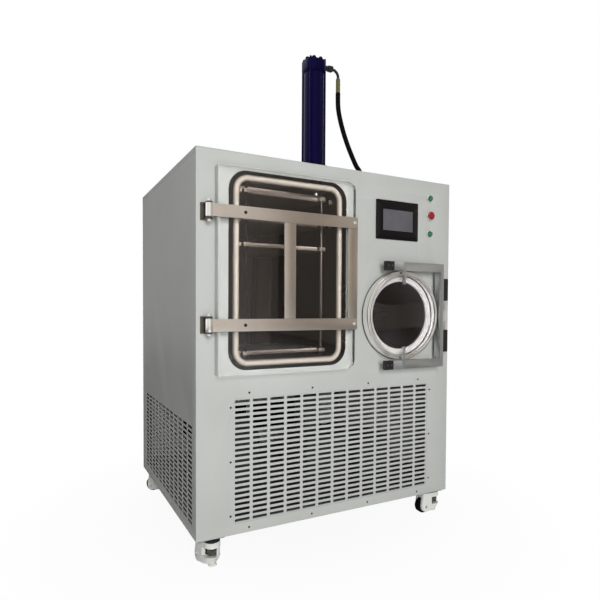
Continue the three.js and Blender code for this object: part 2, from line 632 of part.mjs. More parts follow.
function hydraulicHose() {
  const route = new THREE.CatmullRomCurve3(
    hoseRoute.map((point) => new THREE.Vector3(...point)), false, 'centripetal');
  return solidOf(new THREE.ExtrudeGeometry(circle(hose.radius, 0, 0), {
    steps: hose.steps, curveSegments: hose.sides / 2, bevelEnabled: false,
    extrudePath: route }));
}

// Bulkhead gland: a collar on the top, a stem through it and a nut below.
function hoseGland() {
  const { radius, neckRadius, height, stem, nut } = gland;
  const [low, high] = [topUnder - gap, cabinet.height + gap];
  return turned([[0, low - stem], [neckRadius, low - stem], [neckRadius, low - nut],
    [radius, low - nut], [radius, low], [neckRadius, low], [neckRadius, high],
    [radius, high], [radius, high + height - 3], [radius - 3, high + height],
    [0, high + height]], 'z', 8).translate([glandX, cylinder.y, 0]);
}

// --------------------------------------------------------------- chamber door

function doorPane() {
  const { thickness, bevel, freeCorner, hingeCorner } = door;
  const corners = [hingeCorner, freeCorner, freeCorner, hingeCorner];
  const outline = roundedRect(doorWidth - 2 * bevel, doorHeight - 2 * bevel,
    corners.map((radius) => Math.max(radius - bevel, 1)), doorX, doorZ);
  const slab = new THREE.ExtrudeGeometry(outline, { depth: thickness - bevel,
    bevelEnabled: true, bevelThickness: bevel, bevelSize: bevel, bevelSegments: 1,
    curveSegments: 2 });
  slab.applyMatrix4(extrudeAxes.y);
  slab.translate(0, doorBack, 0);
  const reach = Math.max(doorWidth, doorHeight);
  const behind = block(doorX - reach, doorBack, doorZ - reach,
    doorX + reach, doorBack + 2 * bevel, doorZ + reach);
  return cut(solidOf(slab), behind);
}

// Welded ladder of flat bar: two straps with hinge barrels and two uprights.
function doorFrame() {
  const { width: w, middleBarOffset, middleBarWidth } = strap;
  const [x0, x1] = [doorAxisX, strapRight];
  const barLeft = mouthX + middleBarOffset - middleBarWidth / 2;
  const [low, high] = [strapLevels.lower - w / 2, strapLevels.upper + w / 2];
  const bars = cut(block(x0, strapFront, low, x1, strapBack, high),
    block(x0 - 1, strapFront - 1, low + w, barLeft, strapBack + 1, high - w),
    block(barLeft + middleBarWidth, strapFront - 1, low + w, x1 - w, strapBack + 1,
      high - w));
  const barrels = Object.values(strapLevels).map((z) =>
    rod(doorHinge.barrelRadius, z - w / 2 - 1, z + w / 2 + 1, 'z', 16)
      .translate([x0, doorAxisY, 0]));
  const bores = Object.values(strapLevels).map((z) =>
    shaftHole(doorHinge.pinRadius, z - w, z + w).translate([x0, doorAxisY, 0]));
  return cut(fuse(bars, ...barrels), ...bores);
}

// Bracket on the front sheet with two ears, and the pin fixed through them.
function doorHingeBracket(z) {
  const { leafWidth, leafThickness, leafHeight, ear, earRadius, pinRadius,
    headRadius, headHeight } = doorHinge;
  const leaf = block(doorAxisX - earRadius - leafWidth / 2, -leafThickness - gap, z - leafHeight / 2,
    doorAxisX - earRadius + leafWidth / 2, -gap, z + leafHeight / 2);
  const half = strap.width / 2 + 1 + gap;
  const ears = [[half, half + ear], [-half - ear, -half]].map(([low, high]) => fuse(
    block(doorAxisX - earRadius, doorAxisY, z + low, doorAxisX + earRadius, -leafThickness, z + high),
    rod(earRadius, z + low, z + high, 'z', 12).translate([doorAxisX, doorAxisY, 0])));
  const pin = turned([[0, z - half - ear - headHeight], [pinRadius, z - half - ear - headHeight],
    [pinRadius, z + half + ear - 1], [headRadius, z + half + ear - 1],
    [headRadius, z + half + ear + headHeight], [0, z + half + ear + headHeight]], 'z', 8)
    .translate([doorAxisX, doorAxisY, 0]);
  return fuse(leaf, ...ears, pin);
}

// ------------------------------------------------------------------ the cold trap

// Round pot lying on its side, with a flange, the vapour duct from the chamber
// and the vacuum pipe that ends inside.
function trapVessel() {
  const { radius, wall, flangeRadius, flange, ductRadius, ductWall } = trap;
  const shell = fuse(
    rod(flangeRadius, trapRimFront, trapRimFront + flange, 'y'),
    rod(radius + wall, trapRimFront + flange / 2, trapBack, 'y')
  ).translate([trapX, 0, trapZ]);
  const ductLeft = mouthRight + chamber.wall + gap;
  const duct = rod(ductRadius + ductWall, ductLeft, trapX, 'x', 20)
    .translate([0, ductY, trapZ]);
  const hollow = rod(radius, trapRimFront - 1, trapBack - wall, 'y')
    .translate([trapX, 0, trapZ]);
  const bore = rod(ductRadius, ductLeft - 1, trapX, 'x', 20)
    .translate([0, ductY, trapZ]);
  const pipeX = trapX + trap.pipeOffset;
  const pipe = rod(trap.pipeRadius, trap.pipeMouth, trapBack + trap.pipeTail, 'y', 12)
    .translate([pipeX, 0, trapZ]);
  const pipeBore = rod(trap.pipeRadius - trap.pipeWall, trap.pipeMouth - 1,
    trapBack + trap.pipeTail + 1, 'y', 12).translate([pipeX, 0, trapZ]);
  return cut(fuse(cut(fuse(shell, duct), hollow, bore), pipe), pipeBore);
}

function trapGasket() {
  return ring(trap.radius + trap.wall, trap.flangeRadius - 1, trapDoorBack + gap,
    trap.sealDepth, 'y').translate([trapX, 0, trapZ]);
}

// Evaporator pipe wound round the outside of the pot.
class Helix extends THREE.Curve {
  getPoint(t, target = new THREE.Vector3()) {
    const angle = 2 * Math.PI * coilTurns * t;
    return target.set(coilRadius * Math.cos(angle),
      coil.pitch * coilTurns * t, coilRadius * Math.sin(angle));
  }
}

function trapCoil() {
  const tube = coil.tube / 2;
  const section = polygon([[tube, 0], [0, tube], [-tube, 0], [0, -tube]]);
  const pipe = new THREE.ExtrudeGeometry(section, { steps: coil.segments * coilTurns,
    bevelEnabled: false, extrudePath: new Helix() });
  pipe.translate(trapX, coilBack - coilTurns * coil.pitch, trapZ);
  return outward(pipe);
}

const trapDisc = () => turned([[0, trapDoorBack], [discRadius, trapDoorBack],
  [discRadius, trapDoorBack - trapDoor.discThickness],
  [0, trapDoorBack - trapDoor.discThickness]], 'y', 32)
  .translate([trapX, 0, trapZ]);

// Polished band round the disc: a flat outer face and a round bead inside it.
function trapRing() {
  const { ringRadius, ringWall, ringThickness, bead } = trapDoor;
  const inner = ringRadius - ringWall;
  const front = trapDoorBack - ringThickness;
  return turned([[inner, trapDoorBack], [ringRadius, trapDoorBack],
    [ringRadius, front + 3], [ringRadius - 3, front], [inner + 1.2 * bead, front],
    [inner + 0.8 * bead, front - bead], [inner, front - bead]], 'y', 32)
    .translate([trapX, 0, trapZ]);
}

// Two arms and an upright of heavy bar, with a lug over the ring at top and
// bottom and two hinge knuckles on the right.
function trapYoke() {
  const { armHeight, armThickness, leftReach, sideWidth, sideDepth, lugWidth,
    lugOffset, lugRise, lugOverlap } = yoke;
  const [front, cx, cz] = [-yokeFront, trapX, trapZ];
  const left = cx - leftReach;
  const right = yokeSide + sideWidth;
  const outer = yokeInner + armHeight;
  const bars = [block(yokeSide, -front, cz - outer, right, -front + sideDepth, cz + outer)];
  for (const side of [-1, 1]) {
    const [low, high] = [cz + side * yokeInner, cz + side * outer].sort((a, b) => a - b);
    bars.push(block(left, -front, low, right, -front + armThickness, high));
    const [tip, root] = [cz + side * (yokeInner - lugOverlap), cz + side * outer]
      .sort((a, b) => a - b);
    bars.push(block(cx - lugOffset - lugWidth / 2, -front - lugRise, tip,
      cx - lugOffset + lugWidth / 2, ringFront - gap, root));
    const near = trapHinge.spread / 2 - gap;
    const [bottom, top] = [cz + side * near, cz + side * (near - trapHinge.knuckleHeight)]
      .sort((a, b) => a - b);
    bars.push(block(right - 6, -trapHinge.webFront, bottom, trapAxisX, -trapHinge.webBack, top));
    bars.push(rod(trapHinge.knuckleRadius, bottom, top, 'z', 12)
      .translate([trapAxisX, -trapHinge.axisY, 0]));
  }
  const bores = [-1, 1].map((side) => shaftHole(trapHinge.pinRadius,
    cz + side * trapHinge.spread / 2 - trapHinge.knuckleHeight - 1,
    cz + side * trapHinge.spread / 2 + trapHinge.knuckleHeight + 1)
    .translate([trapAxisX, -trapHinge.axisY, 0]));
  return cut(fuse(...bars), ...bores);
}

// Black block on the front sheet with a fixed pin that enters the knuckle.
function trapHingeBlock(side) {
  const { axisY, blockWidth, blockDepth, blockHeight, spread, pinRadius, knuckleHeight } = trapHinge;
  const near = trapZ + side * spread / 2;
  const [low, high] = [near, near + side * blockHeight].sort((a, b) => a - b);
  const [pinLow, pinHigh] = [near + side, near - side * (knuckleHeight - 2)].sort((a, b) => a - b);
  return fuse(
    block(trapAxisX - blockWidth / 2, -blockDepth, low, trapAxisX + blockWidth / 2, -gap, high),
    rod(pinRadius, pinLow, pinHigh, 'z', 8).translate([trapAxisX, -axisY, 0]));
}

// --------------------------------------------------------------------- controls

function touchScreen() {
  const at = [screenX, screenZ];
  const bezel = roundedRect(screen.width, screen.height, screen.corner, ...at);
  const body = block(screenX - screen.width / 2 + screen.bodyInset, -gap - 1,
    screenZ - screen.height / 2 + screen.bodyInset,
    screenX + screen.width / 2 - screen.bodyInset, screen.bodyDepth,
    screenZ + screen.height / 2 - screen.bodyInset);
  const x = screenX + screen.glassOffsetX;
  const glass = block(x - screen.glassWidth / 2, -screen.bezel - 1,
    screenZ - screen.glassHeight / 2, x + screen.glassWidth / 2,
    -screen.bezel + screen.glassDepth, screenZ + screen.glassHeight / 2);
  return cut(fuse(pushed(bezel, 'y', -screen.bezel, -gap, 1), body), glass);
}

function buttonBezel(z) {
  const bore = button.plungerRadius + runningFit;
  return turned([[bore, -button.bezelHeight], [button.bezelRadius - 3, -button.bezelHeight],
    [button.bezelRadius, -button.bezelHeight / 2], [button.bezelRadius, -gap],
    [button.neckRadius, -gap], [button.neckRadius, button.neckLength],
    [bore, button.neckLength]], 'y', 12).translate([buttonX, 0, z]);
}

function buttonCap({ centreZ, mushroom }) {
  const { plungerRadius, bezelHeight, travel, stem, mushroomRadius, mushroomHeight } = button;
  const back = -bezelHeight - travel - gap;
  const section = mushroom
    ? [[0, stem], [plungerRadius, stem], [plungerRadius, back], [mushroomRadius, back],
      [mushroomRadius, back - mushroomHeight / 2], [mushroomRadius * 0.6, back - mushroomHeight],
      [0, back - mushroomHeight]]
    : [[0, stem], [plungerRadius, stem], [plungerRadius, back], [plungerRadius - 1.5, back - 1.5],
      [0, back - 1.5]];
  return turned(section, 'y', 12).translate([buttonX, 0, centreZ]);
}

// -------------------------------------------------------------------- machinery

const deckTop = chassis.tube + chassis.deck + gap;
const pumpX = cabinet.width - vacuumPump.fromRight;

function compressorSolid() {
  const { radius, height } = compressor;
  return turned([[0, 0], [radius, 0], [radius, 12], [radius * 0.86, 14],
    [radius * 0.86, height * 0.75], [radius * 0.55, height], [0, height]], 'z', 12)
    .translate([compressor.x, compressor.y, deckTop]);
}

function vacuumPumpSolid() {
  const { length, width, height, motorRadius } = vacuumPump;
  const motor = rod(motorRadius, 0, length / 2, 'y', 12)
    .translate([0, 0, motorRadius + 20]);
  return fuse(block(-width / 2, -length / 2, 0, width / 2, 1, height), motor,
    block(-width / 3, 0, 0, width / 3, length / 2 - 20, 30))
    .translate([pumpX, vacuumPump.y, deckTop]);
}

function hydraulicUnitSolid() {
  const { width, depth, height, motorRadius, motorHeight, motorSetback, portHeight } = hydraulicUnit;
  const tank = block(-width / 2, -depth / 3, 0, width / 2, depth * 2 / 3, height);
  const motor = rod(motorRadius, height - 1, height + motorHeight, 'z', 12)
    .translate([0, motorSetback + motorRadius / 2, 0]);
  return fuse(tank, motor, rod(hose.radius + 2, height - 1, height + portHeight, 'z', 10))
    .translate([pumpX - vacuumPump.width / 2 - hydraulicUnit.pumpGap - width / 2,
      hydraulicUnit.y, deckTop]);
}

// ---------------------------------------------------------------------- casters

function casterSpots() {
  const { insetX, insetY } = caster;
  const [right, back] = [cabinet.width - insetX, cabinet.depth - insetY];
  return [[insetX, insetY], [right, insetY], [insetX, back], [right, back]];
}

const wheelFacets = 16;
const axleZ = caster.wheelRadius * Math.cos(Math.PI / wheelFacets);

// Moulded housing round the kingpin: two cheeks over the wheel at one end, and at
// the other a round boss with a window for the handwheel of the levelling foot.
function casterBody() {
  const { bodyLength, bodyWidth, corner, bossRadius, wheelWidth, wheelRadius, wheelOffset,
    axleRadius, cheekRadius, footOffset, stemRadius, stemLength, handwheelRadius,
    handwheelHeight, handwheelZ, bossFoot, bossChamfer, bossRise, window, endWall } = caster;
  const top = caster.height - caster.plate - gap;
  const half = bodyLength / 2;
  const pocketTop = axleZ + wheelRadius + 3;
  const pocketEnd = wheelRadius - wheelOffset + 2;
  const side = new THREE.Shape();
  side.moveTo(-half + corner, top);
  side.lineTo(-wheelOffset - cheekRadius, axleZ);
  side.absarc(-wheelOffset, axleZ, cheekRadius, Math.PI, 1.5 * Math.PI, false);
  side.lineTo(pocketEnd, bossFoot);
  side.lineTo(half - bossChamfer, bossFoot);
  side.lineTo(half, bossFoot + bossRise);
  side.lineTo(half, top);
  const plan = roundedRect(bodyLength, bodyWidth, [corner, bossRadius, bossRadius, corner]);
  const housing = pushed(side, 'y', -bodyWidth / 2, bodyWidth / 2)
    .intersect(pushed(plan, 'z', 0, top + 1));
  const room = handwheelRadius + 1;
  const [windowFoot, windowTop] = [handwheelZ - window, handwheelZ + handwheelHeight + window];
  return cut(housing,
    block(-half - 1, -wheelWidth / 2 - 1, -1, pocketEnd, wheelWidth / 2 + 1, pocketTop),
    block(footOffset - room - window, -bodyWidth, windowFoot, half - endWall, bodyWidth, windowTop),
    rod(room, windowFoot, windowTop, 'z', 12).translate([footOffset, 0, 0]),
    shaftHole(stemRadius, 0, stemLength + 2).translate([footOffset, 0, 0]),
    shaftHole(axleRadius, -bodyWidth, bodyWidth, 'y').translate([-wheelOffset, 0, axleZ]),
    shaftHole(caster.kingpin, top - caster.kingpinLength - 1, top + 1));
}

function casterWheel() {
  const { wheelRadius, wheelWidth, axleRadius, bodyWidth } = caster;
  const [side, end] = [wheelWidth / 2, bodyWidth / 2 - 2];
  return turned([[0, -end], [axleRadius, -end], [axleRadius, -side], [wheelRadius - 2, -side],
    [wheelRadius, -side + 3], [wheelRadius, side - 3], [wheelRadius - 2, side],
    [axleRadius, side], [axleRadius, end], [0, end]], 'y', wheelFacets, Math.PI / wheelFacets);
}

const handwheel = () => ring(clearOf(caster.stemRadius, 12), caster.handwheelRadius,
  caster.handwheelZ, caster.handwheelZ + caster.handwheelHeight, 'z', 12);

function levellingFoot() {
  const { footRadius, footRaise, footThickness, stemRadius, stemLength } = caster;
  const padTop = footRaise + footThickness;
  return turned([[0, footRaise], [footRadius, footRaise], [footRadius, padTop - 2],
    [stemRadius, padTop], [stemRadius, stemLength], [0, stemLength]], 'z', 10);
}

function casterGroup(spot, [x, y]) {
  const group = new THREE.Group();
  const wheel = mesh(`caster_wheel_${spot}`, casterWheel(), 'rubber');
  wheel.position.set(-caster.wheelOffset, 0, axleZ);
  const dial = mesh(`foot_handwheel_${spot}`, handwheel(), 'darkSteel');
  dial.position.set(caster.footOffset, 0, 0);
  const foot = mesh(`levelling_foot_${spot}`, levellingFoot(), 'rubber');
  foot.position.set(caster.footOffset, 0, 0);
  group.add(mesh(`caster_body_${spot}`, casterBody(), 'whiteNylon'), wheel, dial, foot);
  group.rotation.z = THREE.MathUtils.degToRad(casterTurns[spot]);
  group.position.set(x, y, 0);
  return group;
}

// ---------------------------------------------------------------------- assembly

const body = new THREE.Group();
body.position.z = caster.height;
body.add(
  mesh('base_frame', baseFrame(), 'darkSteel'),
  mesh('front_panel', frontPanel(), 'powderCoat'),
  mesh('front_grille', frontGrille(), 'powderCoat'),
  mesh('left_side_panel', leftSidePanel(), 'powderCoat'),
  mesh('right_side_panel', sidePanel(cabinet.width - cabinet.sheet), 'powderCoat'),
  mesh('back_panel', backPanel(), 'powderCoat'),
  mesh('top_panel', topPanel(), 'powderCoat'),
  mesh('chamber_body', chamberBody(), 'chamberSteel'),
  mesh('chamber_gasket', chamberGasket(), 'silicone'),
  mesh('guide_rod_left', guideRodSolid(rodXs[0]), 'stainless'),
  mesh('guide_rod_right', guideRodSolid(rodXs[1]), 'stainless'),
  mesh('pressing_plate', pressingPlate(), 'stainless'),
  mesh('shelf_1', shelfPlate(plateLevel - shelf.plateDrop), 'stainless'),
  mesh('shelf_2', shelfPlate(plateLevel - shelf.plateDrop - shelf.pitch), 'stainless'),
  mesh('shelf_3', shelfPlate(mouthFloor + shelf.floorGap), 'stainless'),
  mesh('piston_rod', pistonRod(), 'chrome'),
  mesh('cylinder_barrel', cylinderBarrel(), 'navy'),
  mesh('cylinder_head', cylinderHead(), 'navy'),
  mesh('hose_elbow', hoseElbow(), 'darkSteel'),
  mesh('hose_end', hoseEnd(), 'chrome'),
  mesh('hydraulic_hose', hydraulicHose(), 'rubber'),
  mesh('hose_gland', hoseGland(), 'rubber'),
  mesh('door_pane', doorPane(), 'acrylic'),
  mesh('door_frame', doorFrame(), 'stainless'),
  mesh('door_hinge_upper', doorHingeBracket(strapLevels.upper), 'darkSteel'),
  mesh('door_hinge_lower', doorHingeBracket(strapLevels.lower), 'darkSteel'),
  mesh('trap_vessel', trapVessel(), 'chamberSteel'),
  mesh('trap_gasket', trapGasket(), 'silicone'),
  mesh('trap_coil', trapCoil(), 'copper'),
  mesh('trap_door_disc', trapDisc(), 'acrylic'),
  mesh('trap_door_ring', trapRing(), 'chrome'),
  mesh('trap_yoke', trapYoke(), 'stainless'),
  mesh('trap_hinge_upper', trapHingeBlock(1), 'darkSteel'),
  mesh('trap_hinge_lower', trapHingeBlock(-1), 'darkSteel'),
  mesh('touch_screen', touchScreen(), 'gloss'),
  mesh('compressor', compressorSolid(), 'castIron'),
  mesh('vacuum_pump', vacuumPumpSolid(), 'castIron'),
  mesh('hydraulic_unit', hydraulicUnitSolid(), 'castIron'));

for (const row of buttonLevels) {
  body.add(
    mesh(`${row.name}_bezel`, buttonBezel(row.centreZ), 'chrome'),
    mesh(row.name, buttonCap(row), { color: row.colour, roughness: 0.3, metalness: 0 }));
}

// The origin is on the floor, under the middle of the machine with both doors
// shut: the yoke stands furthest out in front.
const machine = new THREE.Group();
machine.add(body);
const places = Object.keys(casterTurns);
casterSpots().forEach((spot, i) => machine.add(casterGroup(places[i], spot)));
machine.position.set(-cabinet.width / 2, -(cabinet.depth + yokeFront - yoke.lugRise) / 2, 0);

const freezeDryer = new THREE.Group();
freezeDryer.add(machine);
export default freezeDryer;
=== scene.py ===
"""Finishes and smooth surfaces for a pilot freeze dryer, built round its CAD frame."""

import json
import math

import bmesh
import bpy
import numpy as np
from mathutils import Matrix, Vector

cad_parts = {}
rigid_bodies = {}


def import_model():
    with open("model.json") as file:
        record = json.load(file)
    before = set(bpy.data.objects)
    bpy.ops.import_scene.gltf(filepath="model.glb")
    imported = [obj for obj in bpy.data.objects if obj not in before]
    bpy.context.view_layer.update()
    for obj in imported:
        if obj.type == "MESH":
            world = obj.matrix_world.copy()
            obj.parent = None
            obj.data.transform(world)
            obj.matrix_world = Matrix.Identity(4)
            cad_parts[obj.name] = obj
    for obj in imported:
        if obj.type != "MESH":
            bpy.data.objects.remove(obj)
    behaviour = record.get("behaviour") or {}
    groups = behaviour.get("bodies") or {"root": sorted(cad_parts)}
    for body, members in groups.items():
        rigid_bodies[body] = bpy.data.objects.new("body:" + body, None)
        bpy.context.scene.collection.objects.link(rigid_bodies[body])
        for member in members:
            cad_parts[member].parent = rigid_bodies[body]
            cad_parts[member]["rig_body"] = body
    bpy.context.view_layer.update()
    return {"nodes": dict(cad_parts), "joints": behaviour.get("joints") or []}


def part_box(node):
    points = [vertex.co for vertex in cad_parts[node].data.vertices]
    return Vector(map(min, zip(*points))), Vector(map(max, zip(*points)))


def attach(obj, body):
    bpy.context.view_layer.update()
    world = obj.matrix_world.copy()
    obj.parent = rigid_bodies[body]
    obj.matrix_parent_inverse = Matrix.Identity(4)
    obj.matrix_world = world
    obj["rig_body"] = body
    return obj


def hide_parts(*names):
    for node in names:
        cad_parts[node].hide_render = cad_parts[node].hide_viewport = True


bl_info = {
    "name": "Pilot freeze dryer",
    "version": (1, 0, 0),
    "blender": (4, 5, 0),
    "location": "View3D > Sidebar > Freeze dryer",
    "description": "Dresses the frame of a pilot freeze dryer",
    "category": "Add Mesh",
}

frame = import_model()
MM = 0.001     # every shape is drawn in millimetres and becomes a mesh in metres
BOX = {name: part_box(name) for name in frame["nodes"]}
JOINTS = {joint["name"]: joint for joint in frame["joints"]}


def edges(node):
    """Low and high x, y and z of a CAD node."""
    low, high = BOX[node]
    return tuple(value / MM for pair in zip(low, high) for value in pair)


def middle(node):
    return (BOX[node][0] + BOX[node][1]) / 2 / MM


CASTERS = ("front_left", "front_right", "rear_left", "rear_right")
FRONT = edges("front_panel")[2]      # face of the front sheet
TOP = edges("top_panel")[5]


# ------------------------------------------------------------------ sizes to set

def length(name, description, millimetres):
    return bpy.props.FloatProperty(
        name=name, description=description + ", in mm", default=millimetres, min=0)


def srgb(code):
    """Linear red, green, blue and alpha of an sRGB hex value."""
    parts = [int(code[i:i + 2], 16) / 255 for i in (0, 2, 4)]
    return (*[c / 12.92 if c <= 0.04045 else ((c + 0.055) / 1.055) ** 2.4 for c in parts], 1.0)


def colour(name, description, code):
    return bpy.props.FloatVectorProperty(
        name=name, description=description, default=srgb(code), size=4, min=0, max=1,
        subtype="COLOR")


class CabinetSettings(bpy.types.PropertyGroup):
    coat: colour("Coat", "Powder coat on every sheet of the cabinet", "C6C8C4")
    ease: length("Folded edge", "Radius along the edges of the sheets", 1.1)
    screw: length("Screw head", "Radius of the heads round the slotted sheets", 3.6)
    slot: length("Slot height", "Height of the slots in the front and the left side", 9.2)
    hem: length("Hem", "How far the hems of the left side stand proud of it", 0.7)
    slot_pitch: length("Slot pitch", "Distance from slot to slot along a row", 63)
    frame_ease: length("Tube corner", "Radius along the steel tubes inside", 2.0)


class ChamberSettings(bpy.types.PropertyGroup):
    # Painted shade: this near-black tone stands in for the shade inside the closed chamber and
    # the trap.
    steel: colour("Chamber steel", "Rolled stainless sheet inside the chamber", "1E120D")
    seal: colour("Seal", "Silicone seal round the mouth", "B9AFA3")
    corner: length("Mouth corner", "Inner radius in the corners of the mouth", 30)
    land: length("Seal width", "Width of the silicone seal", 22)
    panel_side: length("Side gap", "Open gap beside the seal, in the front sheet", 16)
    panel_top: length("Top gap", "Open gap over and under the seal", 11)
    wall: length("Wall", "Thickness of the chamber wall", 4)


class DoorSettings(bpy.types.PropertyGroup):
    bevel: length("Edge bevel", "Scraped bevel round the front of the pane", 4)
    free_bevel: length("Free bevel", "Width of the bevel on the free side of the pane", 7.6)
    # Painted reflection: depth of the near-black band on the free edge of the pane.
    painted_dark_band: length("Dark edge", "Depth of the dark band in the free edge", 28)
    free_corner: length("Free corner", "Radius of the corners away from the hinge", 35)
    hinge_corner: length("Hinge corner", "Radius of the corners by the hinge", 9)
    strap: length("Strap width", "Width of the flat bars across the pane", 40)
    bar: length("Upright width", "Width of the middle upright", 42)
    strap_ease: length("Strap edge", "Radius along the edges of the flat bars", 0.9)
    barrel: length("Hinge barrel", "Radius of the polished hinge barrels", 12)


class TrapSettings(bpy.types.PropertyGroup):
    radius: length("Pot radius", "Inner radius of the cold trap", 123)
    wall: length("Pot wall", "Thickness of the pot and its flange sleeve", 3)
    ring_wall: length("Ring wall", "Radial width of the polished ring", 15.7)
    bead: length("Ring bead", "Height of the rounded inner bead of the ring", 6)
    duct: length("Duct radius", "Inner radius of the vapour duct", 47)
    pipe: length("Suction pipe", "Outer radius of the vacuum pipe inside", 21)
    bar_ease: length("Yoke edge", "Radius along the edges of the yoke", 1.6)


class PressSettings(bpy.types.PropertyGroup):
    enamel: colour("Enamel", "Gloss enamel of the press cylinder", "0F0C3A")
    tube: length("Tube radius", "Outer radius of the cylinder tube", 36)
    tie: length("Tie rod", "Radius of the four tie rods", 4)
    tie_spread: length("Tie spread", "Distance between tie rods", 58)
    head_corner: length("Head corner", "Corner radius of the cylinder head", 24)
    nut: length("Nut", "Radius of the low cap nuts on the head", 8)
    nut_ring: length("Nut circle", "Radius of the circle the nuts stand on", 33)
    nuts: bpy.props.IntProperty(
        name="Nuts", description="Cap nuts on the cylinder head", default=8, min=4)


class HoseSettings(bpy.types.PropertyGroup):
    hose: length("Hose radius", "Outer radius of the hydraulic hose", 8.8)
    pipe: length("Pipe radius", "Outer radius of the bent steel pipe", 5)
    bend: length("Pipe bend", "Centre-line radius of the bent pipe", 24.2)
    sleeve: length("Sleeve radius", "Radius of the crimped sleeve", 8.4)


class ControlSettings(bpy.types.PropertyGroup):
    go: colour("Green", "Caps of the two flush buttons", "1F7C52")
    stop: colour("Red", "Mushroom cap", "9C0F1C")
    corner: length("Bezel corner", "Corner radius of the screen bezel", 4)
    glass_width: length("Glass width", "Visible width of the screen", 142)
    glass_height: length("Glass height", "Visible height of the screen", 80)
    glass_shift: length("Glass shift", "How far right of the middle the glass sits", 2)


class CasterSettings(bpy.types.PropertyGroup):
    nylon: colour("Housing", "Moulded nylon of the caster housings", "F0F1EC")
    wheel: length("Wheel radius", "Radius of the rolling wheel", 31)
    wheel_width: length("Wheel width", "Width of the wheel", 24)
    dial: length("Handwheel radius", "Radius of the ribbed levelling wheel", 19)
    foot: length("Foot radius", "Radius of the levelling pad", 14.5)


class StageSettings(bpy.types.PropertyGroup):
    lens: bpy.props.FloatProperty(
        name="Lens", description="Focal length of the camera", default=30.645, unit="CAMERA")
    eye: bpy.props.FloatVectorProperty(
        name="Eye", description="Where the camera stands", subtype="TRANSLATION",
        default=(-0.97535, -1.97788, 0.85023))
    turn: bpy.props.FloatVectorProperty(
        name="Turn", description="Turn to the right, tilt up and roll of the camera",
        subtype="EULER", default=tuple(math.radians(a) for a in (28.07, -1.56, 0.30)))
    floor: colour("Floor", "Pale studio floor", "F2F2F1")
    ambient: bpy.props.FloatProperty(
        name="Room light", description="Strength of the light from the room", default=0.105,
        min=0)


SETTINGS = {
    "cabinet": CabinetSettings, "chamber": ChamberSettings, "door": DoorSettings,
    "trap": TrapSettings, "press": PressSettings, "hose": HoseSettings,
    "controls": ControlSettings, "casters": CasterSettings, "stage": StageSettings,
}


def settings(group):
    return getattr(bpy.context.scene, "dryer_" + group)


# ---------------------------------------------------------------------- surfaces

AXES = {"x": [2, 0, 1], "y": [0, 2, 1], "z": [0, 1, 2]}   # where a turned axis points


def grid(rows, columns, wrap_rows=False):
    """Four-sided faces of a grid of points whose columns always join up."""
    row = np.arange(rows if wrap_rows else rows - 1)[:, None]
    column = np.arange(columns)[None, :]
    after_row, after_column = (row + 1) % rows, (column + 1) % columns
    corners = [row * columns + column, row * columns + after_column,
               after_row * columns + after_column, after_row * columns + column]
    return np.stack(np.broadcast_arrays(*corners), -1).reshape(-1, 4).tolist()


def lathe(profile, centre=(0, 0, 0), axis="z", around=48, ripple=None):
    """A turned surface: point(t, a) = centre + r(t) (cos a, sin a) + h(t) along the axis.

    The profile holds (r, h). Ends on the axis close in a pole, others meet as a ring.
    A ripple is a function of the angle that scales r.
    """
    radius, height = np.asarray(profile, float).T
    poles = radius[0] < 1e-9 and radius[-1] < 1e-9
    inner = slice(1, -1) if poles else slice(None)
    angle = np.linspace(0, 2 * np.pi, around, endpoint=False)
    r = radius[inner, None] * (ripple(angle) if ripple else np.ones(around))
    h = np.broadcast_to(height[inner, None], r.shape)
    points = np.stack([r * np.cos(angle), r * np.sin(angle), h], -1).reshape(-1, 3)
    rows = len(r)
    faces = grid(rows, around, wrap_rows=not poles)
    if poles:
        points = np.concatenate([points, [[0, 0, height[0]], [0, 0, height[-1]]]])
        first = np.arange(around)
        last = first + (rows - 1) * around
        pole = np.full(around, rows * around)
        faces += np.stack([np.roll(first, -1), first, pole], 1).tolist()
        faces += np.stack([last, np.roll(last, -1), pole + 1], 1).tolist()
    return points[:, AXES[axis]] + np.asarray(centre, float), faces


def eased(corners, ease, steps=3, closed=False):
    """A polyline whose corners give way to parabolas that start `ease` away from them."""
    p = np.asarray(corners, float)
    before, after = np.roll(p, 1, 0), np.roll(p, -1, 0)
    span_in = np.linalg.norm(before - p, axis=1, keepdims=True)
    span_out = np.linalg.norm(after - p, axis=1, keepdims=True)
    reach = np.minimum(ease, 0.45 * np.minimum(span_in, span_out))
    a = p + (before - p) / np.maximum(span_in, 1e-9) * reach
    c = p + (after - p) / np.maximum(span_out, 1e-9) * reach
    t = np.linspace(0, 1, steps + 1)[None, :, None]
    arcs = (1 - t) ** 2 * a[:, None] + 2 * t * (1 - t) * p[:, None] + t ** 2 * c[:, None]
    if closed:
        return arcs.reshape(-1, 2)
    return np.concatenate([p[:1], arcs[1:-1].reshape(-1, 2), p[-1:]])


def turned(profile, ease, centre, axis="z", around=48, steps=3, closed=False, ripple=None):
    """A turned surface whose profile has eased corners."""
    return lathe(eased(profile, ease, steps, closed), centre, axis, around, ripple)


def dowel(radius, low, high, centre, axis="z", around=32, ease=0.0):
    """A solid cylinder from low to high along its axis."""
    profile = [(0, low), (radius, low), (radius, high), (0, high)]
    return turned(profile, ease, centre, axis, around) if ease else lathe(
        profile, centre, axis, around)


def sleeve(inner, outer, low, high, ease, centre, axis="z", around=48, steps=3):
    """A tube from low to high along its axis."""
    return turned([(inner, low), (outer, low), (outer, high), (inner, high)], ease, centre,
                  axis, around, steps, closed=True)


def loft(loops, ring=False):
    """A skin through closed loops: point(i, j) = loops[i][j]. Ends are capped or joined up."""
    loops = np.asarray(loops, float)
    rows, columns, _ = loops.shape
    faces = grid(rows, columns, wrap_rows=ring)
    if not ring:
        faces += [list(range(columns))[::-1], list(range((rows - 1) * columns, rows * columns))]
    return loops.reshape(-1, 3), faces


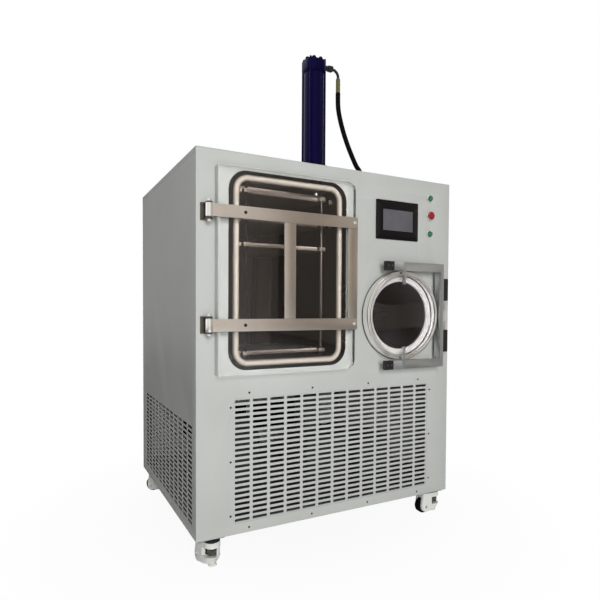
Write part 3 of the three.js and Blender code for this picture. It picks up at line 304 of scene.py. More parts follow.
def corner_loop(x0, x1, y0, y1, corners, steps=8, inset=0.0):
    """A rectangle's outline with quarter circles of its own radius at each corner.

    Corners run anticlockwise from low x, low y, so every loop has as many points. An
    inset pulls the sides in, and the corners keep their centres.
    """
    corners = [corners] * 4 if np.isscalar(corners) else corners
    t = np.linspace(0, np.pi / 2, steps + 1)
    parts = []
    for turn, ((right, top), r) in enumerate(zip(((0, 0), (1, 0), (1, 1), (0, 1)), corners)):
        angle = t + np.pi + turn * np.pi / 2
        cx, cy = (x1 - r if right else x0 + r), (y1 - r if top else y0 + r)
        parts.append(np.stack([cx + (r - inset) * np.cos(angle),
                               cy + (r - inset) * np.sin(angle)], 1))
    return np.concatenate(parts)


def circle_loop(radius, x, z, around=96):
    angle = np.linspace(0, 2 * np.pi, around, endpoint=False)
    return np.stack([x + radius * np.cos(angle), z + radius * np.sin(angle)], 1)


def slot_loops(first, columns, rows, pitch, size):
    """Outlines of slots in rows and columns; the first is the lowest, at low x."""
    wide, high = size[0] / 2, size[1] / 2
    return [corner_loop(x - wide, x + wide, z - high, z + high, 1, 1)
            for x in first[0] + pitch[0] * np.arange(columns)
            for z in first[1] + pitch[1] * np.arange(rows)]


def upright(loop, y):
    """A loop drawn in (x, z), stood up at depth y."""
    return np.stack([loop[:, 0], np.full(len(loop), y), loop[:, 1]], 1)


def level(loop, z):
    """A loop drawn in (x, y), laid flat at height z."""
    return np.stack([loop[:, 0], loop[:, 1], np.full(len(loop), z)], 1)


def grown(loop_of, profile):
    """Loops for a loft: each profile step is (how far the outline grows, depth)."""
    return [upright(loop_of(grow), y) for grow, y in profile]


def pipe(path, radius, across=(0, 1, 0), around=20):
    """A round section carried along a flat path: path(t) + r (cos a n + sin a b).

    b stands square to the path's plane and n square to both, so nothing twists.
    """
    path = np.asarray(path, float)
    tangent = np.gradient(path, axis=0)
    tangent /= np.linalg.norm(tangent, axis=1, keepdims=True)
    b = np.broadcast_to(np.asarray(across, float), path.shape)[:, None]
    n = np.cross(tangent[:, None], b)
    angle = np.linspace(0, 2 * np.pi, around, endpoint=False)[None, :, None]
    return loft(path[:, None] + radius * (np.cos(angle) * n + np.sin(angle) * b))


def bow(points, count):
    """A centripetal Catmull-Rom curve through the points, sampled evenly in each span."""
    p = np.asarray(points, float)
    p = np.concatenate([2 * p[:1] - p[1:2], p, 2 * p[-1:] - p[-2:-1]])
    knots = np.concatenate([[0], np.cumsum(np.linalg.norm(np.diff(p, axis=0), axis=1) ** 0.5)])
    u = np.linspace(knots[1], knots[-2], count)
    i = np.clip(np.searchsorted(knots, u, side="right") - 1, 1, len(p) - 3)
    t = [knots[i + k][:, None] for k in (-1, 0, 1, 2)]
    q = [p[i + k] for k in (-1, 0, 1, 2)]
    u = u[:, None]
    a = [((t[k + 1] - u) * q[k] + (u - t[k]) * q[k + 1]) / (t[k + 1] - t[k]) for k in range(3)]
    b = [((t[k + 2] - u) * a[k] + (u - t[k]) * a[k + 1]) / (t[k + 2] - t[k]) for k in range(2)]
    return ((t[2] - u) * b[0] + (u - t[1]) * b[1]) / (t[2] - t[1])


def box_block(low, high, ease, steps=3):
    """A box with rounded edges: rounded loops in plan, pulled in towards both ends.

    Loop k lies at height z(k) and is inset by e(k), a quarter circle of the edge radius.
    """
    (x0, y0, z0), (x1, y1, z1) = low, high
    t = np.linspace(0, np.pi / 2, steps + 1)
    inset, rise = ease * (1 - np.sin(t)), ease * (1 - np.cos(t))
    heights = np.concatenate([z0 + rise, (z1 - rise)[::-1]])
    return loft([level(corner_loop(x0 + e, x1 - e, y0 + e, y1 - e,
                                   max(ease - e, ease * 0.12) + 0.001, steps), z)
                 for e, z in zip(np.concatenate([inset, inset[::-1]]), heights)])


def joined(*parts):
    """Several closed surfaces as one set of points and faces."""
    starts = np.cumsum([0] + [len(points) for points, _ in parts[:-1]])
    faces = [[i + int(start) for i in face] for start, (_, some) in zip(starts, parts)
             for face in some]
    return np.concatenate([points for points, _ in parts]), faces


def screw_heads(spots, radius, height):
    """Low domed heads with a small driver recess, one at each spot, facing the front."""
    rise = np.linspace(0, 1, 5)
    dome = np.stack([radius * np.cos(rise * np.pi / 2 * 0.8), height * (0.25 + 0.75 * np.sin(
        rise * np.pi / 2))], 1)
    recess = [[radius * 0.3, height * 0.95], [radius * 0.28, height * 0.45],
              [0, height * 0.4]]
    profile = np.concatenate([[[0, 0], [radius, 0]], dome, recess]) * (1, -1)
    return joined(*[lathe(profile, spot, "y", 16) for spot in spots])


def turned_to(part, joint):
    """A surface made round the origin, turned about z so that y meets the joint's axis."""
    axis, place = Vector(joint["axis"]), np.asarray(joint["pos_m"]) / MM
    angle = math.atan2(-axis.x, axis.y) if abs(axis.z) < 0.5 else 0.0
    c, s = math.cos(angle), math.sin(angle)
    return part[0] @ np.array([[c, s, 0], [-s, c, 0], [0, 0, 1]]) + place, part[1]


# ------------------------------------------------------------------------ pieces

def tidy(mesh, flat=0.0):
    """Merge doubles, melt flat triangles together and point closed shells outwards."""
    work = bmesh.new()
    work.from_mesh(mesh)
    bmesh.ops.remove_doubles(work, verts=work.verts, dist=2e-6)
    if flat:
        bmesh.ops.dissolve_limit(work, angle_limit=flat, verts=work.verts, edges=work.edges)
    bmesh.ops.recalc_face_normals(work, faces=work.faces)
    work.to_mesh(mesh)
    work.free()


def mesh_of(name, part):
    mesh = bpy.data.meshes.new(name)
    mesh.from_pydata((part[0] * MM).tolist(), [], part[1])
    tidy(mesh)
    return mesh


def in_scene(name, data):
    thing = bpy.data.objects.new(name, data)
    bpy.context.scene.collection.objects.link(thing)
    return thing


def frozen(thing):
    """The mesh that an object's modifiers or curve give."""
    bpy.context.view_layer.update()
    return bpy.data.meshes.new_from_object(
        thing.evaluated_get(bpy.context.evaluated_depsgraph_get()))


def piece(name, mesh, body, slot, replaces=(), crease=38, finish=None):
    """Put a mesh in the scene as a finished piece that moves with its body."""
    if not isinstance(mesh, bpy.types.Mesh):
        mesh = mesh_of(name, mesh)
    mesh.shade_smooth()
    if crease:
        mesh.set_sharp_from_angle(angle=math.radians(crease))
    mesh.materials.clear()
    mesh.materials.append(finish_named(finish or slot))
    thing = in_scene(name, mesh)
    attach(thing, body)
    if replaces:
        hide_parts(*replaces)
    return thing


def bevelled(thing, width, angle, steps=2):
    """Round the edges that are sharper than the angle."""
    bevel = thing.modifiers.new("Eased edges", "BEVEL")
    bevel.width, bevel.segments = width * MM, steps
    bevel.limit_method, bevel.angle_limit = "ANGLE", math.radians(angle)
    bevel.harden_normals = True


def softened(node, slot, ease, finish=None, steps=2):
    """A CAD node's own shape with its edges eased by a bevel."""
    source = frame["nodes"][node]
    mesh = source.data.copy()
    tidy(mesh, flat=math.radians(0.6))
    thing = piece(node + "_eased", mesh, source["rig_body"], slot, (node,), 0, finish)
    bevelled(thing, ease, 28, steps)


def keep(node, slot):
    """A CAD node whose shape is right takes its finish and stays."""
    thing = frame["nodes"][node]
    material = finish_named(slot)
    if not thing.material_slots:
        thing.data.materials.append(material)
    for holder in thing.material_slots:
        holder.material = material


def cut_away(mesh, *tools):
    """The mesh without what the closed tools cover."""
    solid = in_scene("solid", mesh)
    cutters = [in_scene("tool", mesh_of("tool", tool)) for tool in tools]
    for cutter in cutters:
        step = solid.modifiers.new("cut", "BOOLEAN")
        step.object, step.operation, step.solver = cutter, "DIFFERENCE", "EXACT"
    result = frozen(solid)
    for thing in (solid, *cutters):
        bpy.data.objects.remove(thing)
    return result


def flat_plate(name, outline, holes, front, back, ease):
    """A plate with holes that faces the front: a filled flat curve with eased edges.

    Outline and holes are drawn in (x, z) and the plate runs from front to back along y.
    """
    curve = bpy.data.curves.new(name, "CURVE")
    curve.dimensions, curve.fill_mode, curve.bevel_resolution = "2D", "BOTH", 2
    curve.extrude = ((back - front) / 2 - ease) * MM
    curve.bevel_depth, curve.offset = ease * MM, -ease * MM
    for loop in (outline, *holes):
        spline = curve.splines.new("POLY")
        spline.points.add(len(loop) - 1)
        flat = np.concatenate([loop * MM, np.zeros((len(loop), 1)), np.ones((len(loop), 1))], 1)
        spline.points.foreach_set("co", flat.ravel())
        spline.use_cyclic_u = True
    holder = in_scene(name, curve)
    mesh = frozen(holder)
    bpy.data.objects.remove(holder)
    mesh.transform(Matrix(((1, 0, 0, 0), (0, 0, -1, (front + back) / 2 * MM), (0, 1, 0, 0),
                           (0, 0, 0, 1))))
    tidy(mesh)
    return mesh


# --------------------------------------------------------------------- finishes

def add(tree, kind, inputs=None, **choices):
    """One shader node with its choices, and each input as a value or a link."""
    made = tree.nodes.new(kind)
    for name, value in choices.items():
        setattr(made, name, value)
    for key, value in (inputs or {}).items():
        if isinstance(value, bpy.types.NodeSocket):
            tree.links.new(value, made.inputs[key])
        else:
            made.inputs[key].default_value = value
    return made


def begin(name):
    """An empty material's tree and its Object coordinates."""
    made = bpy.data.materials.new(name)
    made.use_nodes = True
    made.node_tree.nodes.clear()
    return made.node_tree, add(made.node_tree, "ShaderNodeTexCoord").outputs["Object"]


def end(tree, shader):
    add(tree, "ShaderNodeOutputMaterial", {"Surface": shader})


def mixed(tree, share, first, second):
    """A shader between two others."""
    return add(tree, "ShaderNodeMixShader", {0: share, 1: first, 2: second}).outputs[0]


def grain(tree, where, size, stretch=(1, 1, 1), detail=2.0, rough=0.5):
    """Noise whose lumps are `size` mm across, longer along an axis with a stretch."""
    placed = add(tree, "ShaderNodeMapping", {
        "Vector": where, "Scale": tuple(1 / (size * MM * s) for s in stretch)})
    return add(tree, "ShaderNodeTexNoise", {
        "Vector": placed.outputs[0], "Scale": 1.0, "Detail": detail,
        "Roughness": rough}).outputs[0]


def ranged(tree, value, start, stop, low=0.0, high=1.0):
    """A number that goes from low to high as the value goes from start to stop."""
    return add(tree, "ShaderNodeMapRange", {
        "Value": value, "From Min": start, "From Max": stop, "To Min": low,
        "To Max": high}).outputs[0]


def between(tree, factor, low, high, start=0.35, stop=0.65):
    """A number or colour that goes from low to high as the factor goes from start to stop."""
    if np.isscalar(low):
        return ranged(tree, factor, start, stop, low, high)
    return add(tree, "ShaderNodeMix", {0: ranged(tree, factor, start, stop), 6: low, 7: high},
               data_type="RGBA").outputs[2]


def bump(tree, height, depth, strength=1.0):
    return add(tree, "ShaderNodeBump", {
        "Height": height, "Distance": depth * MM, "Strength": strength}).outputs[0]


def shade(code, factor):
    """An sRGB hex colour, or a linear one, made darker or lighter."""
    base = srgb(code) if isinstance(code, str) else tuple(code)
    return (*[min(1.0, c * factor) for c in base[:3]], 1.0)


def ends_of(tones):
    """Two colours, or one colour or setting of a group with a factor for either end."""
    if len(tones) == 2:
        return [srgb(code) for code in tones]
    *named, low, high = tones
    code = named[0] if len(named) == 1 else getattr(settings(named[0]), named[1])
    return shade(code, low), shade(code, high)


def surface(tree, where, size, tones, rough, dent=0.0, hold=1.0, stretch=(1, 1, 1),
            detail=2.0, coarse=0.5, patch=None, shadow=None, **more):
    """A Principled surface that one noise drives: its tone, its gloss and its relief.

    Tones are one colour or what ends_of takes; one roughness is even and two are a range.
    A patch is the size, stretch and detail of a second noise, for the tone alone. Lamps
    shine through a surface that has a shadow colour.
    """
    noise = grain(tree, where, size, stretch, detail, coarse)
    inputs = {name.replace("_", " "): value for name, value in more.items()}
    if isinstance(tones, str):
        inputs["Base Color"] = srgb(tones)
    else:
        cloud = grain(tree, where, *patch) if patch else noise
        inputs["Base Color"] = between(tree, cloud, *ends_of(tones))
    inputs["Roughness"] = rough if np.isscalar(rough) else between(tree, noise, *rough)
    if dent:
        inputs["Normal"] = bump(tree, noise, dent, hold)
    skin = add(tree, "ShaderNodeBsdfPrincipled", inputs).outputs[0]
    if shadow is None:
        return skin
    lamp = add(tree, "ShaderNodeLightPath").outputs["Is Shadow Ray"]
    return mixed(tree, lamp, skin, add(
        tree, "ShaderNodeBsdfTransparent", {"Color": srgb(shadow)}).outputs[0])


# A waxy rubber lets a little light in.
WAXY = {"Subsurface_Weight": 0.25, "Subsurface_Radius": (1.0, 0.85, 0.7),
        "Subsurface_Scale": 3 * MM}

SURFACES = {
    # Polyester powder: an even satin skin with fine orange peel, a shade uneven over a sheet.
    # The peel is really 1 mm across and is drawn at 3 mm, so that it breaks up the gloss.
    "powder_coat": dict(size=3, tones=("cabinet", "coat", 0.975, 1.015), rough=(0.46, 0.56),
                        dent=0.06, patch=(220, (1, 1, 1), 1), IOR=1.5),
    # Brushed-on enamel over welded tube: dull, with soft brush lines.
    "frame_paint": dict(size=4, stretch=(1, 1, 9), tones=("46474A", "505154"), rough=0.55,
                        dent=0.1),
    # 304 sheet with a dull mill skin, rolled and welded: soft streaks and a faint heat tint
    # that drifts at random. Its base colour is darkened to a red-brown near black, painted
    # shade for the inside of the closed chamber and the trap pot.
    "chamber_steel": dict(size=1.6, stretch=(30, 30, 1), rough=(0.34, 0.48), dent=0.03,
                          tones=("chamber", "steel", 0.84, 1.1), hold=0.3, Metallic=0.85,
                          patch=(120, (1, 1, 0.5))),
    # Turned and buffed: mirror-like, with hairlines that only break up the highlight.
    "polished_steel": dict(size=0.6, stretch=(1, 1, 12), detail=3, tones="FBFAF8",
                           rough=(0.16, 0.24), Metallic=1.0),
    # Silicone that is still nearly white, dusty, with a faint parting texture.
    "pale_silicone": dict(size=20, detail=4, tones=("E2DFDC", 0.9, 1.0), rough=0.34,
                          dent=0.08, **WAXY),
    # Cast PMMA with polished faces: clear, with a trace of haze in its gloss.
    "clear_acrylic": dict(size=50, tones="F3F3F4", rough=(0.0, 0.012), IOR=1.49,
                          Transmission_Weight=1.0, shadow="E6E6E5"),
    # Painted reflection on the polished free edge: an opaque near-black stands in for the dark
    # gap mirrored inside the sheet.
    "dark_acrylic": dict(size=30, tones=("272B2A", "3A403D"), rough=0.3,
                         Specular_IOR_Level=0.3, shadow="C8CBC8"),
    # The same sheet where it was sawn and scraped: satin, so the edge glows pale.
    "cut_acrylic": dict(size=1.2, stretch=(20, 1, 20), tones="DDE0DD", rough=(0.3, 0.42),
                        IOR=1.49, Transmission_Weight=0.2, shadow="C8CBC8"),
    # Moulded ABS bezel: deep black, glossy, a little orange peel.
    "black_gloss": dict(size=4, tones="0E0D0F", rough=(0.2, 0.28), dent=0.03,
                        Specular_IOR_Level=0.25),
    # A panel that is switched off, behind hard-coated film: an even slate grey that is partly
    # painted reflection of the room in the film.
    "screen_glass": dict(size=80, detail=1, tones=("5C5B60", "66656B"), rough=0.3,
                         Specular_IOR_Level=0.3),
    # Sprayed gloss enamel: thick, dark blue, wet-looking, with slight flow in the surface.
    "navy_enamel": dict(size=12, stretch=(1, 1, 3), tones=("press", "enamel", 0.9, 1.1),
                        rough=0.42, dent=0.1, hold=0.6, Metallic=0.6,
                        Specular_IOR_Level=0.1),
    # Moulded rubber: near black, a dusty bloom on top, barely glossy.
    "black_rubber": dict(size=6, detail=4, tones=("0D0C0D", "161516"), rough=(0.5, 0.64),
                         dent=0.1, Specular_IOR_Level=0.03),
    # Rubber in a mid grey, lighter and darker at random; the grey is partly a painted highlight
    # for the lit ribs of the handwheel.
    "grey_rubber": dict(size=4, detail=4, tones=("3C3C3B", "6A6B69"), rough=0.6, dent=0.1,
                        Specular_IOR_Level=0.2),
    # Black oxide over machined steel: a dark brown-black with an oily half-gloss.
    "black_steel": dict(size=10, detail=5, tones=("2A292B", "3A3839"), rough=(0.34, 0.5),
                        Metallic=0.6),
    # Zinc plate with a yellow passivation: olive-gold that drifts in hue over the part.
    "fitting_steel": dict(size=8, detail=3, tones=("6A6642", "8A855F"), rough=0.45,
                          Metallic=0.9),
    # Glass-filled nylon: off-white, matt, with flow marks from the mould.
    "white_nylon": dict(size=10, stretch=(1, 1, 2.5), detail=4, rough=(0.4, 0.52), dent=0.1,
                        tones=("casters", "nylon", 0.93, 1.03)),
    # Drawn refrigeration tube, gone brown in places.
    "copper": dict(size=20, detail=4, tones=("C9825A", "9B5D40"), rough=(0.25, 0.42),
                   Metallic=1.0),
    # Painted sand casting: dark grey-green, pitted like the sand it was poured in.
    "cast_iron": dict(size=2.5, detail=5, coarse=0.7, tones=("3A3D40", "4A4D50"), rough=0.5,
                      dent=0.3),
    # Polycarbonate lens of a flush button: a soft gloss and a touch of cloud in it.
    "green_plastic": dict(size=6, tones=("controls", "go", 0.88, 1.06), rough=0.28,
                          Coat_Weight=0.4, Coat_Roughness=0.1),
    # Glossy ABS mushroom cap.
    "red_plastic": dict(size=6, tones=("controls", "stop", 0.88, 1.06), rough=0.28,
                        Coat_Weight=0.4, Coat_Roughness=0.1),
}

# Metal with a directional grain: its colour, roughness, stretch and size of line.
BRUSHED = {
    # 304 bar with a number 4 brush along its length; the lines are drawn 1 mm apart.
    "stainless": ("D3CAC1", 0.3, (45, 1, 1), 0.9),
    # The same bar where it stands upright, so its brush runs up and down.
    "stainless_upright": ("CEC6BC", 0.3, (1, 1, 45), 0.9),
    # Pickled bar, cooler and paler than the brushed straps.
    "yoke_steel": ("C6CACA", 0.34, (1, 1, 20), 0.9),
    # Ground heating plate: pale warm metal with long grinding lines across the chamber.
    "shelf_steel": ("AA9E92", 0.5, (60, 1, 1), 1.2),
    # Ground guide rod under a film of oil: grey, soft along its length.
    "rod_steel": ("6E655E", 0.4, (1, 1, 30), 0.9),
}


def brushed(tree, where, code, rough, along, line):
    """Streaks of tone and of gloss along one axis, in soft patches."""
    streak = grain(tree, where, line, along, detail=3, rough=0.7)
    patch = grain(tree, where, 60)
    tone = add(tree, "ShaderNodeMath", {0: streak, 1: patch}, operation="MULTIPLY").outputs[0]
    return add(tree, "ShaderNodeBsdfPrincipled", {
        "Base Color": between(tree, tone, shade(code, 0.93), shade(code, 1.03), 0.12, 0.4),
        "Metallic": 1.0, "Roughness": between(tree, streak, rough * 0.92, rough * 1.1),
        "Normal": bump(tree, streak, 0.008, 0.2)}).outputs[0]


def silicone(tree, where):
    # Cream silicone with a waxy relief. Its tone is painted light: palest on the crest nearest
    # the pane and dark brown towards the back, a painted highlight on the crest and painted
    # shade on its sides.
    code, crest = settings("chamber").seal, BOX["chamber_gasket"][0].y
    skin = surface(tree, where, 20, "FFFFFF", 0.34, detail=4, dent=0.08, **WAXY)
    depth = add(tree, "ShaderNodeSeparateXYZ", {"Vector": where}).outputs["Y"]
    # Painted highlight and shade: the seal colour runs from 1.35 times on the crest to 0.42
    # times, 0.8 to 6.5 mm behind it.
    tree.links.new(between(tree, depth, shade(code, 1.35), shade(code, 0.42),
                           crest + 0.8 * MM, crest + 6.5 * MM),
                   skin.node.inputs["Base Color"])
    return skin


MADE = {}


def finish_named(name):
    """The material of that name, made the first time it is asked for."""
    if name not in MADE:
        tree, where = begin(name + "_finish")
        if name in SURFACES:
            end(tree, surface(tree, where, **SURFACES[name]))
        else:
            end(tree, brushed(tree, where, *BRUSHED[name]) if name in BRUSHED
                else silicone(tree, where))
        MADE[name] = bpy.data.materials[name + "_finish"]
    return MADE[name]


# ------------------------------------------------------------------ making pieces

def place_of(joint):
    return np.asarray(JOINTS[joint]["pos_m"]) / MM


def cap_nut(radius, z0, z1, x, y):
    """A low round cap nut: a flat-topped dome turned about a tie rod."""
    high = z1 - z0
    return lathe(eased([(0, z0), (radius, z0), (radius, z0 + 0.45 * high),
                        (0.62 * radius, z1), (0, z1)], 0.3 * radius, 3), (x, y, 0), "z", 32)


def make_cabinet():
    s, c = settings("cabinet"), settings("chamber")
    for node in ("right_side_panel", "back_panel", "top_panel"):
        softened(node, "powder_coat", s.ease * 0.8)
    softened("base_frame", "frame_paint", s.frame_ease)

    x0, x1, y0, y1, z0, z1 = edges("front_panel")
    gx0, gx1, _, _, gz0, gz1 = edges("chamber_gasket")
    tx0, tx1, _, _, tz0, tz1 = edges("trap_gasket")
    sx0, sx1, _, _, sz0, sz1 = edges("touch_screen")
    fx0, fx1, back_y0, back_y1, fz0, fz1 = edges("front_grille")
    lap, inset = 23.5, 4.7     # how far the slotted plate and the screen cover their holes
    holes = [
        corner_loop(gx0 - c.panel_side, gx1 + c.panel_side, gz0 - c.panel_top,
                    gz1 + c.panel_top, c.corner + c.land + c.panel_top, 12),
        circle_loop((tx1 - tx0) / 2 + 5, (tx0 + tx1) / 2, (tz0 + tz1) / 2, 128),
        corner_loop(sx0 + inset, sx1 - inset, sz0 + inset, sz1 - inset, 2, 4),
        corner_loop(fx0 + lap, fx1 - lap, fz0 + lap, fz1 - lap, 2, 4),
    ]
    for name in ("start", "stop", "vacuum"):
        spot = middle(name + "_button_bezel")
        holes.append(circle_loop(11.3, spot.x, spot.z, 48))
    sheet = flat_plate("front_sheet", corner_loop(x0, x1, z0, z1, 1.2, 3), holes, y0, y1, 0.6)
    piece("front_sheet", sheet, "cabinet", "powder_coat", ("front_panel",))

    slots = slot_loops((fx0 + 54, fz0 + 32), 13, 23, (s.slot_pitch, 17.9), (52, s.slot))
    grille = flat_plate("front_slots", corner_loop(fx0, fx1, fz0, fz1, 1, 3), slots,
                        back_y0, back_y1, 0.3)
    piece("front_slots", grille, "cabinet", "powder_coat", ("front_grille",))
    lx0, lx1, ly0, ly1, lz0, lz1 = edges("left_side_panel")
    slots = slot_loops((ly0 + 73.2, lz0 + 42.25), 12, 20, (s.slot_pitch, 16.5), (50, s.slot))
    side = flat_plate("side_slots", corner_loop(ly0, ly1, lz0, lz1, 1, 3), slots,
                      lx0 + s.hem, lx1, 0.4)
    side.transform(Matrix(((0, 1, 0, 0), (1, 0, 0, 0), (0, 0, 1, 0), (0, 0, 0, 1))))
    tidy(side)
    piece("side_slots", side, "cabinet", "powder_coat", ("left_side_panel",))

    inner = edges("back_panel")[2]
    # Filter mats inside the back vents, made black as painted shade so that the slots read
    # dark.
    shade_mats = [box_block((x - 165, inner - 3.4, 225), (x + 165, inner - 0.4, 355), 0.8)
            for x in (-180, 180)]
    piece("vent_filters", joined(*shade_mats), "cabinet", "black_rubber")

    rows = [(x, z) for z in (fz0 + 3, fz1 - 5)
            for x in np.linspace(fx0 + 77, fx1 - 71, 4)]
    sides = [(x, z) for x in (fx0 + 12, fx1 - 12)
             for z in np.linspace(fz0 + 50, fz1 - 50, 3)]
    spots = [(x, y0, z) for x, z in rows + sides]
    piece("grille_screws", screw_heads(spots, s.screw, 1.6), "cabinet", "black_steel")

    hems = [box_block((lx0, ly0 + 1, low), (lx0 + 1.3, ly1 - 1, high), 0.3)
            for low, high in ((lz0 + 1, lz0 + 17), (lz1 - 12, lz1 - 1))]
    piece("side_hems", joined(*hems), "cabinet", "powder_coat")


def make_chamber():
    c = settings("chamber")
    gx0, gx1, gy0, gy1, gz0, gz1 = edges("chamber_gasket")
    _, _, front, back, _, neck_top = edges("chamber_body")
    mx0, mx1, mz0, mz1 = gx0 + c.land, gx1 - c.land, gz0 + c.land, gz1 - c.land

    def mouth(grow):
        return corner_loop(mx0 - grow, mx1 + grow, mz0 - grow, mz1 + grow, c.corner + grow, 10)

    wall, rim = c.wall, front + 12
    profile = eased([(wall, back), (wall, rim), (c.land, rim), (c.land, front), (0, front),
                     (0, back - wall)], 1.2, 3)
    profile = np.concatenate([[(wall - 8, back)], profile, [(-10, back - wall + 0.1)]])
    profile[1, 1] -= 3
    profile[-2, 1] -= 6
    shell = loft(grown(mouth, profile))
    duct = middle("trap_vessel")
    duct_y = sum(edges("trap_coil")[2:4]) / 2 + 165
    rod = middle("piston_rod")
    hole = dowel(settings("trap").duct, -30, 30, (mx1, duct_y, duct.z), "x", 64)
    bore = dowel(11.6, -20, 30, (rod.x, rod.y, mz1))
    body = cut_away(mesh_of("shell", shell), hole, bore)
    piece("chamber_shell", body, "cabinet", "chamber_steel", ("chamber_body",))

    neck = turned([(28, mz1 + wall), (28, neck_top), (11.8, neck_top), (11.8, mz1 + wall)],
                  0.8, (rod.x, rod.y, 0), "z", 40, closed=True)
    piece("chamber_neck", neck, "cabinet", "chamber_steel")
    rails = [box_block((x - 8, back - wall - 30, mz0 + 2),
                       (x + 8, back - wall + 0.5, mz1 - 2), 1.5)
             for x in ((mx0 + mx1) / 2 - 100, (mx0 + mx1) / 2 + 100)]
    piece("chamber_rails", joined(*rails), "cabinet", "chamber_steel")

    hooks = [box_block((mx1 - 11, front + 34, level_z - 8),
                       (mx1 + 0.5, front + 46, level_z + 8), 1.5)
             for level_z in (edges("pressing_plate")[4], middle("shelf_1").z)]
    piece("wall_hooks", joined(*hooks), "cabinet", "polished_steel", finish="shelf_steel")

    depth = gy1 - gy0
    seal = eased([(0.3, gy1), (0.3, gy0 + 0.75 * depth), (3.5, gy0 + 0.3 * depth),
                  (c.land / 2, gy0 - 0.05 * depth), (c.land - 3.5, gy0 + 0.3 * depth),
                  (c.land - 0.3, gy0 + 0.75 * depth), (c.land - 0.3, gy1)],
                 5, 5, closed=True)
    piece("chamber_seal", loft(grown(mouth, seal), ring=True), "cabinet", "silicone",
          ("chamber_gasket",))

    for node in ("pressing_plate", "shelf_1", "shelf_2", "shelf_3"):
        softened(node, "stainless", 1.4, "shelf_steel")
    for node in ("guide_rod_left", "guide_rod_right"):
        x0, x1, y0, y1, z0, z1 = edges(node)
        rod_skin = dowel((x1 - x0) / 2, z0, z1, ((x0 + x1) / 2, (y0 + y1) / 2, 0), ease=0.6)
        # Painted shade: the left rod takes the near-black chamber finish and the right one the
        # grey rod finish, so the left rod reads shaded.
        piece(node + "_round", rod_skin, "cabinet", "polished_steel", (node,),
              finish="rod_steel" if node.endswith("right") else "chamber_steel")


def make_door():
    s = settings("door")
    x0, x1, y0, y1, z0, z1 = edges("door_pane")

    def outline(inset):
        radii = [max(r - inset, 1) for r in
                 (s.hinge_corner, s.free_corner, s.free_corner, s.hinge_corner)]
        widen = s.free_bevel / s.bevel if inset > s.bevel / 2 else 1
        return corner_loop(x0 + inset, x1 - inset * widen, z0 + inset, z1 - inset, radii, 12)

    # Painted reflection: faces of the free side in front of this depth take the opaque
    # near-black finish, standing in for the dark gap mirrored in the edge.
    painted_dark_to = y0 + s.bevel + s.painted_dark_band
    profile = [(-0.6, y1), (0, y1 - 0.6), (0, painted_dark_to), (0, y0 + s.bevel + 0.5),
               (-0.15, y0 + s.bevel - 0.3), (-s.bevel + 0.5, y0 + 0.25), (-s.bevel - 0.3, y0)]
    slab = loft([upright(outline(-grow), y) for grow, y in profile])
    pane = piece("door_pane_clear", slab, "chamber_door", "clear_acrylic", ("door_pane",),
                 crease=20)
    pane.data.materials.append(finish_named("cut_acrylic"))
    pane.data.materials.append(finish_named("dark_acrylic"))
    for face in pane.data.polygons:
        free_side = face.normal.x > 0.4 and abs(face.normal.z) < 0.3
        if abs(face.normal.y) < 0.93:
            face.material_index = 2 * (face.center.y < painted_dark_to * MM) if free_side else 1

    _, fx1, fy0, _, fz0, fz1 = edges("door_frame")
    hinge = place_of("chamber_door_hinge")
    back = y0 - 0.3
    tall = (fz1 - fz0 - s.strap) / 2
    centre = (fz0 + fz1) / 2
    levels = (centre - tall, centre + tall)
    straps, barrels, screws, bolts = [], [], [], []
    for z in levels:
        low, high = z - s.strap / 2, z + s.strap / 2
        straps.append(box_block((hinge[0] + s.barrel * 0.55, fy0, low), (fx1, back, high),
                                s.strap_ease, 3))
        barrels.append(sleeve(5.4, s.barrel, low - 1, high + 1, 0.9, (*hinge[:2], 0)))
        screws.append((x0 + 89, fy0, z))
        bolts.append((fx1 - 12, fy0, z))
    piece("door_straps", joined(*straps), "chamber_door", "stainless", ("door_frame",))
    piece("door_barrels", joined(*barrels), "chamber_door", "polished_steel")
    bars = [box_block((left, fy0 + 0.25, levels[0] + s.strap / 2 + 0.15),
                      (left + wide, back, levels[1] - s.strap / 2 - 0.15),
                      s.strap_ease * 0.8, 3)
            for left, wide in ((hinge[0] + 253, s.bar), (fx1 - s.strap, s.strap))]
    piece("door_uprights", joined(*bars), "chamber_door", "stainless",
          finish="stainless_upright")
    piece("door_screws", screw_heads(screws, 5.5, 3), "chamber_door", "black_steel")
    piece("door_bolts", screw_heads(bolts, 6.5, 3.2), "chamber_door", "polished_steel")

    for node in ("door_hinge_upper", "door_hinge_lower"):
        hx0, _, hy0, hy1, hz0, hz1 = edges(node)
        head, ear = 8, 6
        parts = [box_block((hx0, hy1 - 8, hz0 + head - 0.1),
                           (hinge[0], hy1, hz1 - head + 0.1), 1.2)]
        for low in (hz0 + head, hz1 - head - ear):
            plan = [corner_loop(hinge[0] - 10 + e, hinge[0] + 10 - e, hy0 + e,
                                hy1 - e, (10 - e, 10 - e, 1, 1), 8)
                    for e in (0.6, 0, 0, 0.6)]
            tops = (low, low + 0.6, low + ear - 0.6, low + ear)
            parts.append(loft([level(loop, z) for loop, z in zip(plan, tops)]))
        piece(node + "_bracket", joined(*parts), "cabinet", "black_steel", (node,),
              finish="rod_steel")
        pin = eased([(0, hz0), (6, hz0), (6, hz0 + head), (5, hz0 + head),
                     (5, hz1 - head), (6, hz1 - head), (6, hz1), (0, hz1)],
                    1.6)
        piece(node + "_pin", lathe(pin, (*hinge[:2], 0), "z", 32), "cabinet", "polished_steel")


